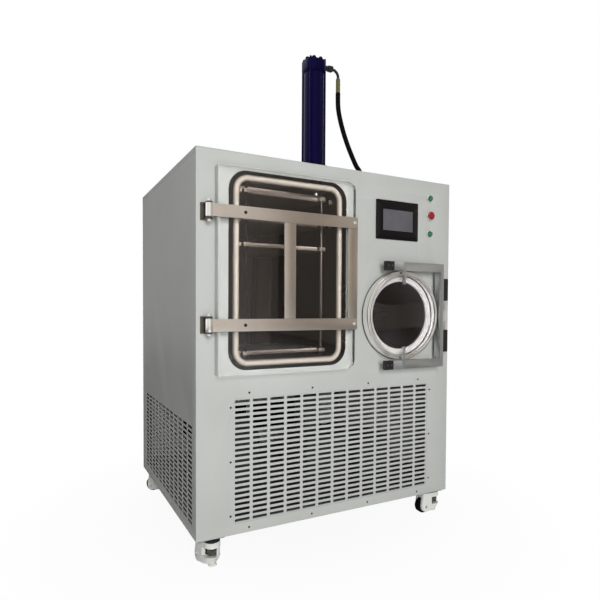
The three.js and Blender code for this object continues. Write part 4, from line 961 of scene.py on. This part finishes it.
def make_trap():
    s = settings("trap")
    x0, x1, y0, y1, z0, z1 = edges("trap_gasket")
    x, z, outer = (x0 + x1) / 2, (z0 + z1) / 2, (x1 - x0) / 2
    vx0, _, front, tail, _, _ = edges("trap_vessel")
    back, flange, wall = tail - 40, outer + 1, s.radius + s.wall
    pot = lathe(eased([(0, back), (wall, back), (wall, front + 10),
                       (flange, front + 10), (flange, front), (s.radius, front),
                       (s.radius, back - s.wall), (0, back - s.wall)], 1.4, 3),
                (x, 0, z), "y", 96)
    duct_y = back - 60
    port = dowel(s.duct, vx0 - x, 0, (x, duct_y, z), "x", 64)
    pipe_x = x + 72
    bore = dowel(s.pipe - 2, back - 30, back + 30, (pipe_x, 0, z), "y", 40)
    body = cut_away(mesh_of("pot", pot), port, bore)
    piece("trap_pot", body, "cabinet", "chamber_steel", ("trap_vessel",))
    tubes = joined(
        sleeve(s.duct, s.duct + 3, vx0, x - wall + 11, 0.6, (0, duct_y, z), "x", 64),
        sleeve(s.pipe - 2, s.pipe, front + 163, tail, 0.6, (pipe_x, 0, z), "y"))
    piece("trap_tubes", tubes, "cabinet", "chamber_steel")
    keep("trap_coil", "copper")

    seal = eased([(s.radius + 3, y1), (s.radius + 3, y0 + 3),
                  (s.radius + 6, y0), (outer - 4, y0), (outer, y0 + 3),
                  (outer, y1)], 2.6, 4, closed=True)
    piece("trap_seal", lathe(seal, (x, 0, z), "y", 96), "cabinet", "silicone",
          ("trap_gasket",), finish="pale_silicone")

    dx0, dx1, dy0, dy1, _, _ = edges("trap_door_disc")
    disc = (dx1 - dx0) / 2
    window = eased([(0, dy1), (disc, dy1), (disc, dy0), (0, dy0)], 1.2, 3)
    piece("trap_window", lathe(window, (x, 0, z), "y", 128), "trap_door", "clear_acrylic",
          ("trap_door_disc",))
    rx0, rx1, ry0, ry1, _, _ = edges("trap_door_ring")
    rim = (rx1 - rx0) / 2
    inner = rim - s.ring_wall
    face = ry0 + s.bead
    bead = 8
    band = [(inner, ry1), (rim, ry1), (rim, face + 4), (rim - 2.5, face),
            (inner + bead, face), (inner + bead - 0.6, face + 2.2),
            (inner + bead - 1.2, face - 1.6), (inner + bead - 3, ry0),
            (inner + 1.6, ry0), (inner, ry0 + 3)]
    piece("trap_band", lathe(eased(band, 1.6, 4, closed=True), (x, 0, z), "y", 128),
          "trap_door", "polished_steel", ("trap_door_ring",))

    # Painted shadow: a thin black rubber ring behind the polished ring stands in for the
    # contact shadow between the ring and the front sheet.
    shadow_ring = [(inner + 2, ry1 - 2.6), (rim + 0.8, ry1 - 2.6),
           (rim + 0.8, ry1 - 0.2), (inner + 2, ry1 - 0.2)]
    piece("trap_lip", lathe(eased(shadow_ring, 0.6, 2, closed=True), (x, 0, z), "y", 128),
          "trap_door", "black_rubber")

    softened("trap_yoke", "stainless", s.bar_ease, "yoke_steel")
    kx0, _, ky0, _, kz0, kz1 = edges("trap_yoke")
    arm_front = ky0 + 4
    blocks, heads = [], []
    for low in (kz0, kz1 - 32):
        blocks.append(box_block((kx0 - 0.6, arm_front - 1.4, low - 0.8),
                                (kx0 + 37, arm_front + 16.6, low + 32.8),
                                1.8))
        heads += [(kx0 + dx, arm_front - 1.4, low + 16) for dx in (10, 27)]
    piece("yoke_ends", joined(*blocks), "trap_door", "black_steel")
    piece("yoke_screws", screw_heads(heads, 4.6, 2.6), "trap_door",
          "polished_steel", finish="rod_steel")
    for node in ("trap_hinge_upper", "trap_hinge_lower"):
        softened(node, "black_steel", 1.3)


def make_controls():
    s = settings("controls")
    x0, x1, y0, y1, z0, z1 = edges("touch_screen")
    gx, gz = (x0 + x1) / 2 + s.glass_shift, (z0 + z1) / 2
    half_w, half_h = s.glass_width / 2, s.glass_height / 2

    def case(inset, y):
        return upright(corner_loop(x0 + inset, x1 - inset, z0 + inset, z1 - inset,
                                   max(s.corner - inset, 0.8), 6), y)

    def glass(inset, y):
        return upright(corner_loop(gx - half_w + inset, gx + half_w - inset,
                                   gz - half_h + inset, gz + half_h - inset, 1.2, 6), y)

    body = 5
    loops = [case(body, y1), case(body, -0.3 + FRONT), case(0.4, -0.3 + FRONT),
             case(0, -0.8 + FRONT), case(0, y0 + 2.2), case(0.5, y0 + 0.9),
             case(2.2, y0), glass(-1.2, y0), glass(0, y0 + 1.1), glass(0, y0 + 1.5)]
    piece("panel_case", loft(loops), "cabinet", "black_gloss", ("touch_screen",))
    film = [glass(0.5, y0 + 1.4), glass(0.5, y0 + 0.75), glass(0.9, y0 + 0.5)]
    piece("panel_glass", loft(film), "cabinet", "black_gloss", finish="screen_glass")

    buttons = {"start": "green_plastic", "stop": "red_plastic", "vacuum": "green_plastic"}
    for name, slot in buttons.items():
        bx0, bx1, by0, by1, _, _ = edges(name + "_button_bezel")
        px0, px1, py0, py1, _, _ = edges(name + "_button")
        spot = middle(name + "_button_bezel")
        centre = (spot.x, 0, spot.z)
        rim, neck, bore = (bx1 - bx0) / 2, 11, 10.3
        ring = [(bore, by0 + 1), (bore, by1), (neck, by1), (neck, FRONT - 0.3),
                (rim, FRONT - 0.3), (rim, by0 + 5), (rim - 2.5, by0)]
        piece(name + "_ring", lathe(eased(ring, 1, 3, closed=True), centre, "y", 48),
              "cabinet", "polished_steel", (name + "_button_bezel",))
        if slot == "green_plastic":
            cap = [(0, py1), (6, py1), (6, 0.5 + FRONT), (9.5, 0.5 + FRONT), (9.5, py0 + 1),
                   (7.5, py0 + 0.1), (0, py0)]
        else:
            top = (px1 - px0) / 2
            cap = [(0, py1), (6, py1), (6, py0 + 6.9), (top - 3, py0 + 6.6), (top, py0 + 4.8),
                   (top - 1, py0 + 2.2), (top * 0.55, py0 + 0.3), (0, py0)]
        piece(name + "_cap", lathe(eased(cap, 1.4, 3), centre, "y", 48),
              name + "_plunger", slot, (name + "_button",))


def make_press():
    s = settings("press")
    x0, x1, y0, y1, z0, z1 = edges("cylinder_barrel")
    hz0, hz1 = edges("cylinder_head")[4:]
    x, y = (x0 + x1) / 2, (y0 + y1) / 2
    foot_top = hz0 - 0.3
    tube = dowel(s.tube, foot_top - 1, z1, (x, y, 0), "z", 64, 0.5)
    foot = box_block((x0, y0, z0), (x1, y1, foot_top), 2.2)
    piece("cylinder_tube", joined(foot, tube), "cabinet", "navy_enamel", ("cylinder_barrel",))

    head_top = hz1 - 8
    half = (x1 - x0) / 2 + 2

    def block(inset, z):
        return level(corner_loop(x - half + inset, x + half - inset, y - half + inset,
                                 y + half - inset, s.head_corner - inset, 10), z)
    low = z1 + 0.3
    head = loft([block(9.5, low), block(9, low + 0.4), block(0.3, low + 9), block(0, low + 9.8),
                 block(0, head_top - 2), block(0.6, head_top - 0.6), block(2, head_top)])
    spread = s.tie_spread / 2
    ties = [dowel(s.tie, hz0, hz1 - 4, (x + i * spread, y + j * spread, 0), "z", 20, 0.5)
            for i in (-1, 1) for j in (-1, 1)]
    around = np.arange(s.nuts) * 2 * np.pi / s.nuts + np.radians(17)
    nuts = [cap_nut(s.nut, head_top - 1, hz1, x + s.nut_ring * c, y + s.nut_ring * d)
            for c, d in zip(np.cos(around), np.sin(around))]
    piece("cylinder_cap", joined(head, *ties, *nuts), "cabinet", "navy_enamel",
          ("cylinder_head",))

    rod = middle("piston_rod")
    px0, px1, _, _, pz0, pz1 = edges("piston_rod")
    plunger = (px1 - px0) / 2
    shaft = [(0, pz0), (11, pz0), (11, pz1 - 20), (plunger, pz1 - 20), (plunger, pz1), (0, pz1)]
    piece("press_rod", lathe(eased(shaft, 1), (rod.x, rod.y, 0), "z", 48), "press_ram",
          "polished_steel", ("piston_rod",))


def make_hose():
    s = settings("hose")
    ex0, ex1, ey0, ey1, ez0, ez1 = edges("hose_elbow")
    y, port = (ey0 + ey1) / 2, (ez0 + ez1) / 2
    neck_end = ex0 + 20
    elbow = joined(
        box_block((neck_end, ey0, ez0), (ex1, ey1, ez1), 2.4),
        dowel(6, ex0, neck_end + 1, (0, y, port), "x", 32, 0.6),
        dowel(8.8, neck_end - 7, neck_end - 1, (0, y, port), "x", 6, 0.8))
    piece("port_elbow", elbow, "cabinet", "black_steel", ("hose_elbow",))

    fx0, fx1, _, _, fz0, _ = edges("hose_end")
    drop_x = fx1 - s.sleeve + 0.4
    turn = np.linspace(0, np.pi / 2, 14)
    bend = np.stack([drop_x - s.bend + s.bend * np.sin(turn), np.full(14, y),
                     port - s.bend + s.bend * np.cos(turn)], 1)
    route = np.concatenate([[[fx0, y, port]], bend, [[drop_x, y, fz0 + 53],
                                                    [drop_x, y, fz0 + 46]]])
    piece("bent_pipe", pipe(route, s.pipe), "cabinet", "black_steel", ("hose_end",))
    crimp = [(0, fz0)] + [
        (s.sleeve - (0.7 if k % 2 else 0), fz0 + z)
        for k, z in enumerate((0, 4, 8, 12, 16, 20, 24, 28, 32, 36, 41, 47))] + [
        (s.sleeve - 1, fz0 + 52), (0, fz0 + 52)]
    piece("hose_sleeve", lathe(eased(crimp, 0.8, 2), (drop_x, y, 0), "z", 32), "cabinet",
          "fitting_steel")

    _, hx1, _, _, hz0, hz1 = edges("hydraulic_hose")
    start, finish = np.array([drop_x, y, hz1]), np.array([hx1 - s.hose, y, hz0])
    across = finish[0] - start[0]
    down = start[2] - finish[2]
    shares = np.array([(0, 0), (0, 0.081), (0.015, 0.19), (0.075, 0.299), (0.191, 0.435),
                       (0.342, 0.572), (0.543, 0.722), (0.854, 0.913), (1, 0.973), (1, 1)])
    points = np.stack([start[0] + shares[:, 0] * across, np.full(len(shares), y),
                       start[2] - shares[:, 1] * down], 1)
    piece("press_hose", pipe(bow(points, 90), s.hose, around=24), "cabinet", "black_rubber",
          ("hydraulic_hose",))

    gx0, gx1, gy0, gy1, gz0, gz1 = edges("hose_gland")
    centre = ((gx0 + gx1) / 2, (gy0 + gy1) / 2, 0)
    collar = (gx1 - gx0) / 2
    shaped = [(0, gz0), (9, gz0), (9, TOP - 2), (collar, TOP + 0.3),
              (collar, gz1 - 4), (collar - 3, gz1), (0, gz1)]
    piece("roof_gland", lathe(eased(shaped, 0.8), centre, "z", 40), "cabinet",
          "black_rubber", ("hose_gland",))


def make_machines():
    for node in ("compressor", "vacuum_pump", "hydraulic_unit"):
        softened(node, "cast_iron", 3, steps=3)


SWIVEL_BORE, DIAL_BORE = 7.7, 6.6     # radii round the swivel stem and the foot's screw
DIAL_OUT = 29                         # from the swivel to the levelling screw
AXLE_BACK, AXLE_UP = 22, 30.4         # from the swivel, on the floor, to the axle


def ribs(angle):
    """Fourteen grips pressed into the rim of a handwheel."""
    return 1 - 0.16 * (0.5 + 0.5 * np.cos(14 * angle)) ** 2


def caster_housing():
    """Housing of a caster about its swivel: wheel end towards -x, boss towards +x.

    Its skin runs through round-cornered plans, one for each height. The left edge leans
    out from the top to the axle and follows a round cheek below it; the right edge runs
    straight down and is cut back under the boss.
    """
    plans = []
    for height, left, right in ((8.6, -27, -14), (9.4, -30, -8), (12, -34, 30), (13, -35, 36.6),
                                (20, -39, 41.3), (30, -41, 48), (36, -41, 52), (38, -40.7, 52),
                                (82, -33.2, 52), (83.6, -31.6, 50.5)):
        inset = 1.6 if height > 83 or height < 9 else 0.8 if height in (9.4, 12) else 0
        half = 27 - inset
        small, large = (min(r, (right - left) / 2 - 0.5) for r in (10, 25))
        loop = corner_loop(left, right, -half, half, (small, large, large, small), 8)
        plans.append(level(loop, height))
    low, high = 37, 66
    dial_spot, axle_spot = (DIAL_OUT, 0, 0), (-AXLE_BACK, 0, AXLE_UP)
    tools = (
        box_block((-60, -13, -5), (11, 13, 64.4), 1.5),
        dowel(20.4, low, high, dial_spot, "z", 48),
        box_block((7, -40, low), (47, 40, high), 1),
        box_block((40, -30, low), (60, 2, high), 1),
        dowel(DIAL_BORE, -5, 77, dial_spot),
        dowel(SWIVEL_BORE, 72, 100, (0, 0, 0)),
        dowel(4.3, -40, 40, axle_spot, "y", 24))
    return cut_away(mesh_of("housing", loft(plans)), *tools)


def make_casters():
    s = settings("casters")
    housing = caster_housing()
    cap = cut_away(
        mesh_of("cap", loft([
            level(corner_loop(-33 + e, 51.4 - e, -26.4 + e, 26.4 - e, (9, 24, 24, 9), 8), z)
            for z, e in ((84, 0.5), (84.5, 0), (93, 0), (93.5, 0.5))])),
        dowel(SWIVEL_BORE, 80, 100, (0, 0, 0)))
    for place in CASTERS:
        roll = JOINTS["roll_" + place]
        node = "caster_body_" + place
        body = frame["nodes"][node]["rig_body"]
        pivot, axis = place_of("swivel_" + place), place_of("handwheel_turn_" + place)
        turn = math.atan2(axis[1] - pivot[1], axis[0] - pivot[0])
        to_place = (Matrix.Translation((pivot[0] * MM, pivot[1] * MM, 0))
                    @ Matrix.Rotation(turn, 4, "Z"))
        shell = housing.copy()
        shell.transform(to_place)
        shell = piece("housing_" + place, shell, body, "white_nylon", (node,), crease=30)
        bevelled(shell, 0.7, 50)
        plate = cap.copy()
        plate.transform(to_place)
        piece("swivel_plate_" + place, plate, body, "black_steel")
        ends = mesh_of("axle", joined(*[
            lathe(eased([(0, a), (3.9, a), (3.9, b), (6, b), (6, c), (4.5, d), (0, d)], 0.5, 2),
                  (-AXLE_BACK, 0, AXLE_UP), "y", 32)
            for a, b, c, d in ((side * 14, side * 26.9, side * 28.2,
                                side * 29.2) for side in (-1, 1))]))
        ends.transform(to_place)
        piece("axle_" + place, ends, body, "polished_steel")
        half, r = s.wheel_width / 2, s.wheel
        tread = [(0, -half), (r * 0.42, -half), (r * 0.45, -half + 2.5),
                 (r * 0.8, -half + 2.5), (r * 0.84, -half), (r - 2, -half),
                 (r, -half + 3), (r, half - 3), (r - 2, half),
                 (r * 0.84, half), (r * 0.8, half - 2.5), (r * 0.45, half - 2.5),
                 (r * 0.42, half), (0, half)]
        lift = r - place_of("roll_" + place)[2]
        wheel = lathe(np.array(eased(tread, 1, 3)) * [1 - lift / r, 1], (0, 0, 0), "y", 64)
        piece("wheel_round_" + place, turned_to(wheel, roll), "wheel_" + place,
              "white_nylon", ("caster_wheel_" + place,), finish="black_rubber")
        hz0, hz1 = edges("foot_handwheel_" + place)[4:]
        rim = s.dial
        dial = eased([(DIAL_BORE, hz0), (rim - 2, hz0), (rim, hz0 + 2),
                      (rim, hz1 - 2), (rim - 2, hz1), (DIAL_BORE, hz1)], 1, 3,
                     closed=True)
        piece("dial_" + place, lathe(dial, (axis[0], axis[1], 0), "z", 96, ribs),
              "handwheel_" + place, "black_rubber", ("foot_handwheel_" + place,),
              finish="grey_rubber")
        fz0, fz1 = edges("levelling_foot_" + place)[4:]
        pad = [(0, fz0), (s.foot - 1, fz0), (s.foot, fz0 + 1.5),
               (s.foot, fz0 + 4.5), (s.foot - 3, fz0 + 7), (6, fz0 + 8), (6, fz1), (0, fz1)]
        piece("foot_" + place, lathe(eased(pad, 1.2, 3), (axis[0], axis[1], 0), "z", 48),
              "foot_" + place, "black_rubber", ("levelling_foot_" + place,),
              finish="white_nylon")


def make_stage():
    s = settings("stage")
    eye = Vector(s.eye)
    yaw, pitch, roll = s.turn
    ahead = Vector((math.sin(yaw) * math.cos(pitch), math.cos(yaw) * math.cos(pitch),
                    math.sin(pitch)))
    right = Vector((math.cos(yaw), -math.sin(yaw), 0))
    up = right.cross(ahead)
    right, up = (math.cos(roll) * right + math.sin(roll) * up,
                 math.cos(roll) * up - math.sin(roll) * right)
    data = bpy.data.cameras.new("eye")
    data.lens, data.sensor_width = s.lens, 36
    data.shift_x, data.shift_y = -0.0086, 0.0348
    data.clip_end = 60
    camera = in_scene("eye", data)
    camera.matrix_world = Matrix((
        (right.x, up.x, -ahead.x, eye.x), (right.y, up.y, -ahead.y, eye.y),
        (right.z, up.z, -ahead.z, eye.z), (0, 0, 0, 1)))
    bpy.context.scene.camera = camera

    size = 7.0
    ground = bpy.data.meshes.new("studio_floor")
    ground.from_pydata([(-size, -size, 0), (size, -size, 0), (size, size, 0),
                        (-size, size, 0)], [], [(0, 1, 2, 3)])
    floor = in_scene("studio_floor", ground)
    tree, where = begin("studio_paper")
    # Seamless paper: flat white, and its shadow shows under the object.
    paper = add(tree, "ShaderNodeBsdfDiffuse", {"Color": s.floor}).outputs[0]
    glow = add(tree, "ShaderNodeEmission", {"Color": (1, 1, 1, 1), "Strength": 1.0}).outputs[0]
    path = add(tree, "ShaderNodeLightPath")
    reach = add(tree, "ShaderNodeVectorMath", {0: where}, operation="LENGTH").outputs["Value"]
    fade = ranged(tree, reach, 0.35, 1.2, 0.93)
    share = add(tree, "ShaderNodeMath", {0: path.outputs["Is Camera Ray"], 1: fade},
                operation="MULTIPLY").outputs[0]
    end(tree, mixed(tree, share, paper, glow))
    ground.materials.append(bpy.data.materials["studio_paper"])

    world = bpy.data.worlds.new("studio")
    world.use_nodes = True
    bpy.context.scene.world = world
    tree = world.node_tree
    tree.nodes.clear()
    way = add(tree, "ShaderNodeSeparateXYZ", {
        0: add(tree, "ShaderNodeTexCoord").outputs["Generated"]})
    # The room as metal sees it: pale on the left and behind, a warm dark wall front right.
    room = add(tree, "ShaderNodeValToRGB", {0: ranged(tree, way.outputs[0], -1.0, 1.0)})
    ramp = room.color_ramp
    ramp.elements[0].position, ramp.elements[0].color = 0.0, srgb("DCDCDA")
    ramp.elements[1].position, ramp.elements[1].color = 1.0, srgb("C9C7C3")
    for place, code in ((0.60, "EFECE8"), (0.66, "D2C9C0"), (0.745, "85776B"),
                        (0.80, "998C81"), (0.84, "BCB6AE")):
        stop = ramp.elements.new(place)
        stop.color = srgb(code)
    seen = add(tree, "ShaderNodeMix", {
        0: ranged(tree, way.outputs[1], -0.15, 0.15), 6: room.outputs[0], 7: (1, 1, 1, 1)},
        data_type="RGBA")
    path = add(tree, "ShaderNodeLightPath")
    mirrored = add(tree, "ShaderNodeMath", {
        0: path.outputs["Is Glossy Ray"], 1: path.outputs["Is Transmission Ray"]},
        operation="MAXIMUM").outputs[0]
    scattered = add(tree, "ShaderNodeMath", {0: mirrored, 1: path.outputs["Diffuse Depth"]},
                    operation="SUBTRACT").outputs[0]
    room_light = add(tree, "ShaderNodeBackground", {
        "Color": seen.outputs[2], "Strength": ranged(tree, scattered, 0.0, 1.0, s.ambient)})
    white = add(tree, "ShaderNodeBackground", {"Color": (1, 1, 1, 1), "Strength": 1.0})
    both = mixed(tree, path.outputs["Is Camera Ray"], room_light.outputs[0], white.outputs[0])
    add(tree, "ShaderNodeOutputWorld", {"Surface": both})

    for name, power, size_m, place, aim in (
            ("key", 162, 2.0, (-1.35, -5.0, 2.0), (0.0, -0.4, 0.8)),
            ("low_fill", 8, 1.2, (-0.3, -3.0, 0.35), (-0.1, -0.4, 0.3)),
            ("top", 12, 2.2, (0.3, 0.4, 4.0), (0.0, 0.0, 0.9))):
        lamp = bpy.data.lights.new(name, "AREA")
        lamp.shape, lamp.size, lamp.energy = "SQUARE", size_m, power
        holder = in_scene(name, lamp)
        holder.location = place
        holder.rotation_euler = (Vector(aim) - Vector(place)).to_track_quat(
            "-Z", "Y").to_euler()
        holder.visible_glossy = name == "top"
    bpy.context.scene.view_settings.view_transform = "Standard"


# ------------------------------------------------------------------ the add-on

class Build:
    """An operator that makes one group of pieces."""

    def execute(self, context):
        self.make()
        return {"FINISHED"}


class BuildStage(Build, bpy.types.Operator):
    """Set up the camera, the floor and the soft studio light"""
    bl_idname, bl_label, make = "dryer.stage", "Studio", staticmethod(make_stage)


class BuildCabinet(Build, bpy.types.Operator):
    """Make the sheets, the screws and the frame inside"""
    bl_idname, bl_label, make = "dryer.cabinet", "Cabinet", staticmethod(make_cabinet)


class BuildChamber(Build, bpy.types.Operator):
    """Make the drying chamber, its seal, shelves and guide rods"""
    bl_idname, bl_label, make = "dryer.chamber", "Chamber", staticmethod(make_chamber)


class BuildDoor(Build, bpy.types.Operator):
    """Make the clear chamber door, its flat bars and its hinges"""
    bl_idname, bl_label, make = "dryer.door", "Chamber door", staticmethod(make_door)


class BuildTrap(Build, bpy.types.Operator):
    """Make the cold trap with its round door, yoke and hinge blocks"""
    bl_idname, bl_label, make = "dryer.trap", "Cold trap", staticmethod(make_trap)


class BuildControls(Build, bpy.types.Operator):
    """Make the touch panel and the three push buttons"""
    bl_idname, bl_label, make = "dryer.controls", "Controls", staticmethod(make_controls)


class BuildPress(Build, bpy.types.Operator):
    """Make the hydraulic cylinder and its rod"""
    bl_idname, bl_label, make = "dryer.press", "Press cylinder", staticmethod(make_press)


class BuildHose(Build, bpy.types.Operator):
    """Make the port elbow, the hose and the roof gland"""
    bl_idname, bl_label, make = "dryer.hose", "Hose", staticmethod(make_hose)


class BuildMachines(Build, bpy.types.Operator):
    """Make the compressor, the vacuum pump and the hydraulic unit"""
    bl_idname, bl_label, make = "dryer.machines", "Machines", staticmethod(make_machines)


class BuildCasters(Build, bpy.types.Operator):
    """Make the four levelling casters"""
    bl_idname, bl_label, make = "dryer.casters", "Casters", staticmethod(make_casters)


OPERATORS = (BuildStage, BuildCabinet, BuildChamber, BuildDoor, BuildTrap, BuildControls,
             BuildPress, BuildHose, BuildMachines, BuildCasters)


class DryerPanel(bpy.types.Panel):
    bl_idname = "VIEW3D_PT_dryer"
    bl_label = "Pilot freeze dryer"
    bl_space_type = "VIEW_3D"
    bl_region_type = "UI"
    bl_category = "Freeze dryer"

    def draw(self, context):
        for group, kind in SETTINGS.items():
            box = self.layout.box()
            box.label(text=group.capitalize())
            for name in kind.__annotations__:
                box.prop(getattr(context.scene, "dryer_" + group), name)
        for operator in OPERATORS:
            self.layout.operator(operator.bl_idname)


def register():
    for kind in (*SETTINGS.values(), *OPERATORS, DryerPanel):
        bpy.utils.register_class(kind)
    for group, kind in SETTINGS.items():
        setattr(bpy.types.Scene, "dryer_" + group, bpy.props.PointerProperty(type=kind))


def unregister():
    for group in SETTINGS:
        delattr(bpy.types.Scene, "dryer_" + group)
    for kind in (DryerPanel, *OPERATORS[::-1], *list(SETTINGS.values())[::-1]):
        bpy.utils.unregister_class(kind)


def main():
    register()
    for operator in OPERATORS:
        getattr(bpy.ops.dryer, operator.bl_idname.split(".")[1])()
    bpy.context.view_layer.update()


if __name__ == "__main__":
    main()
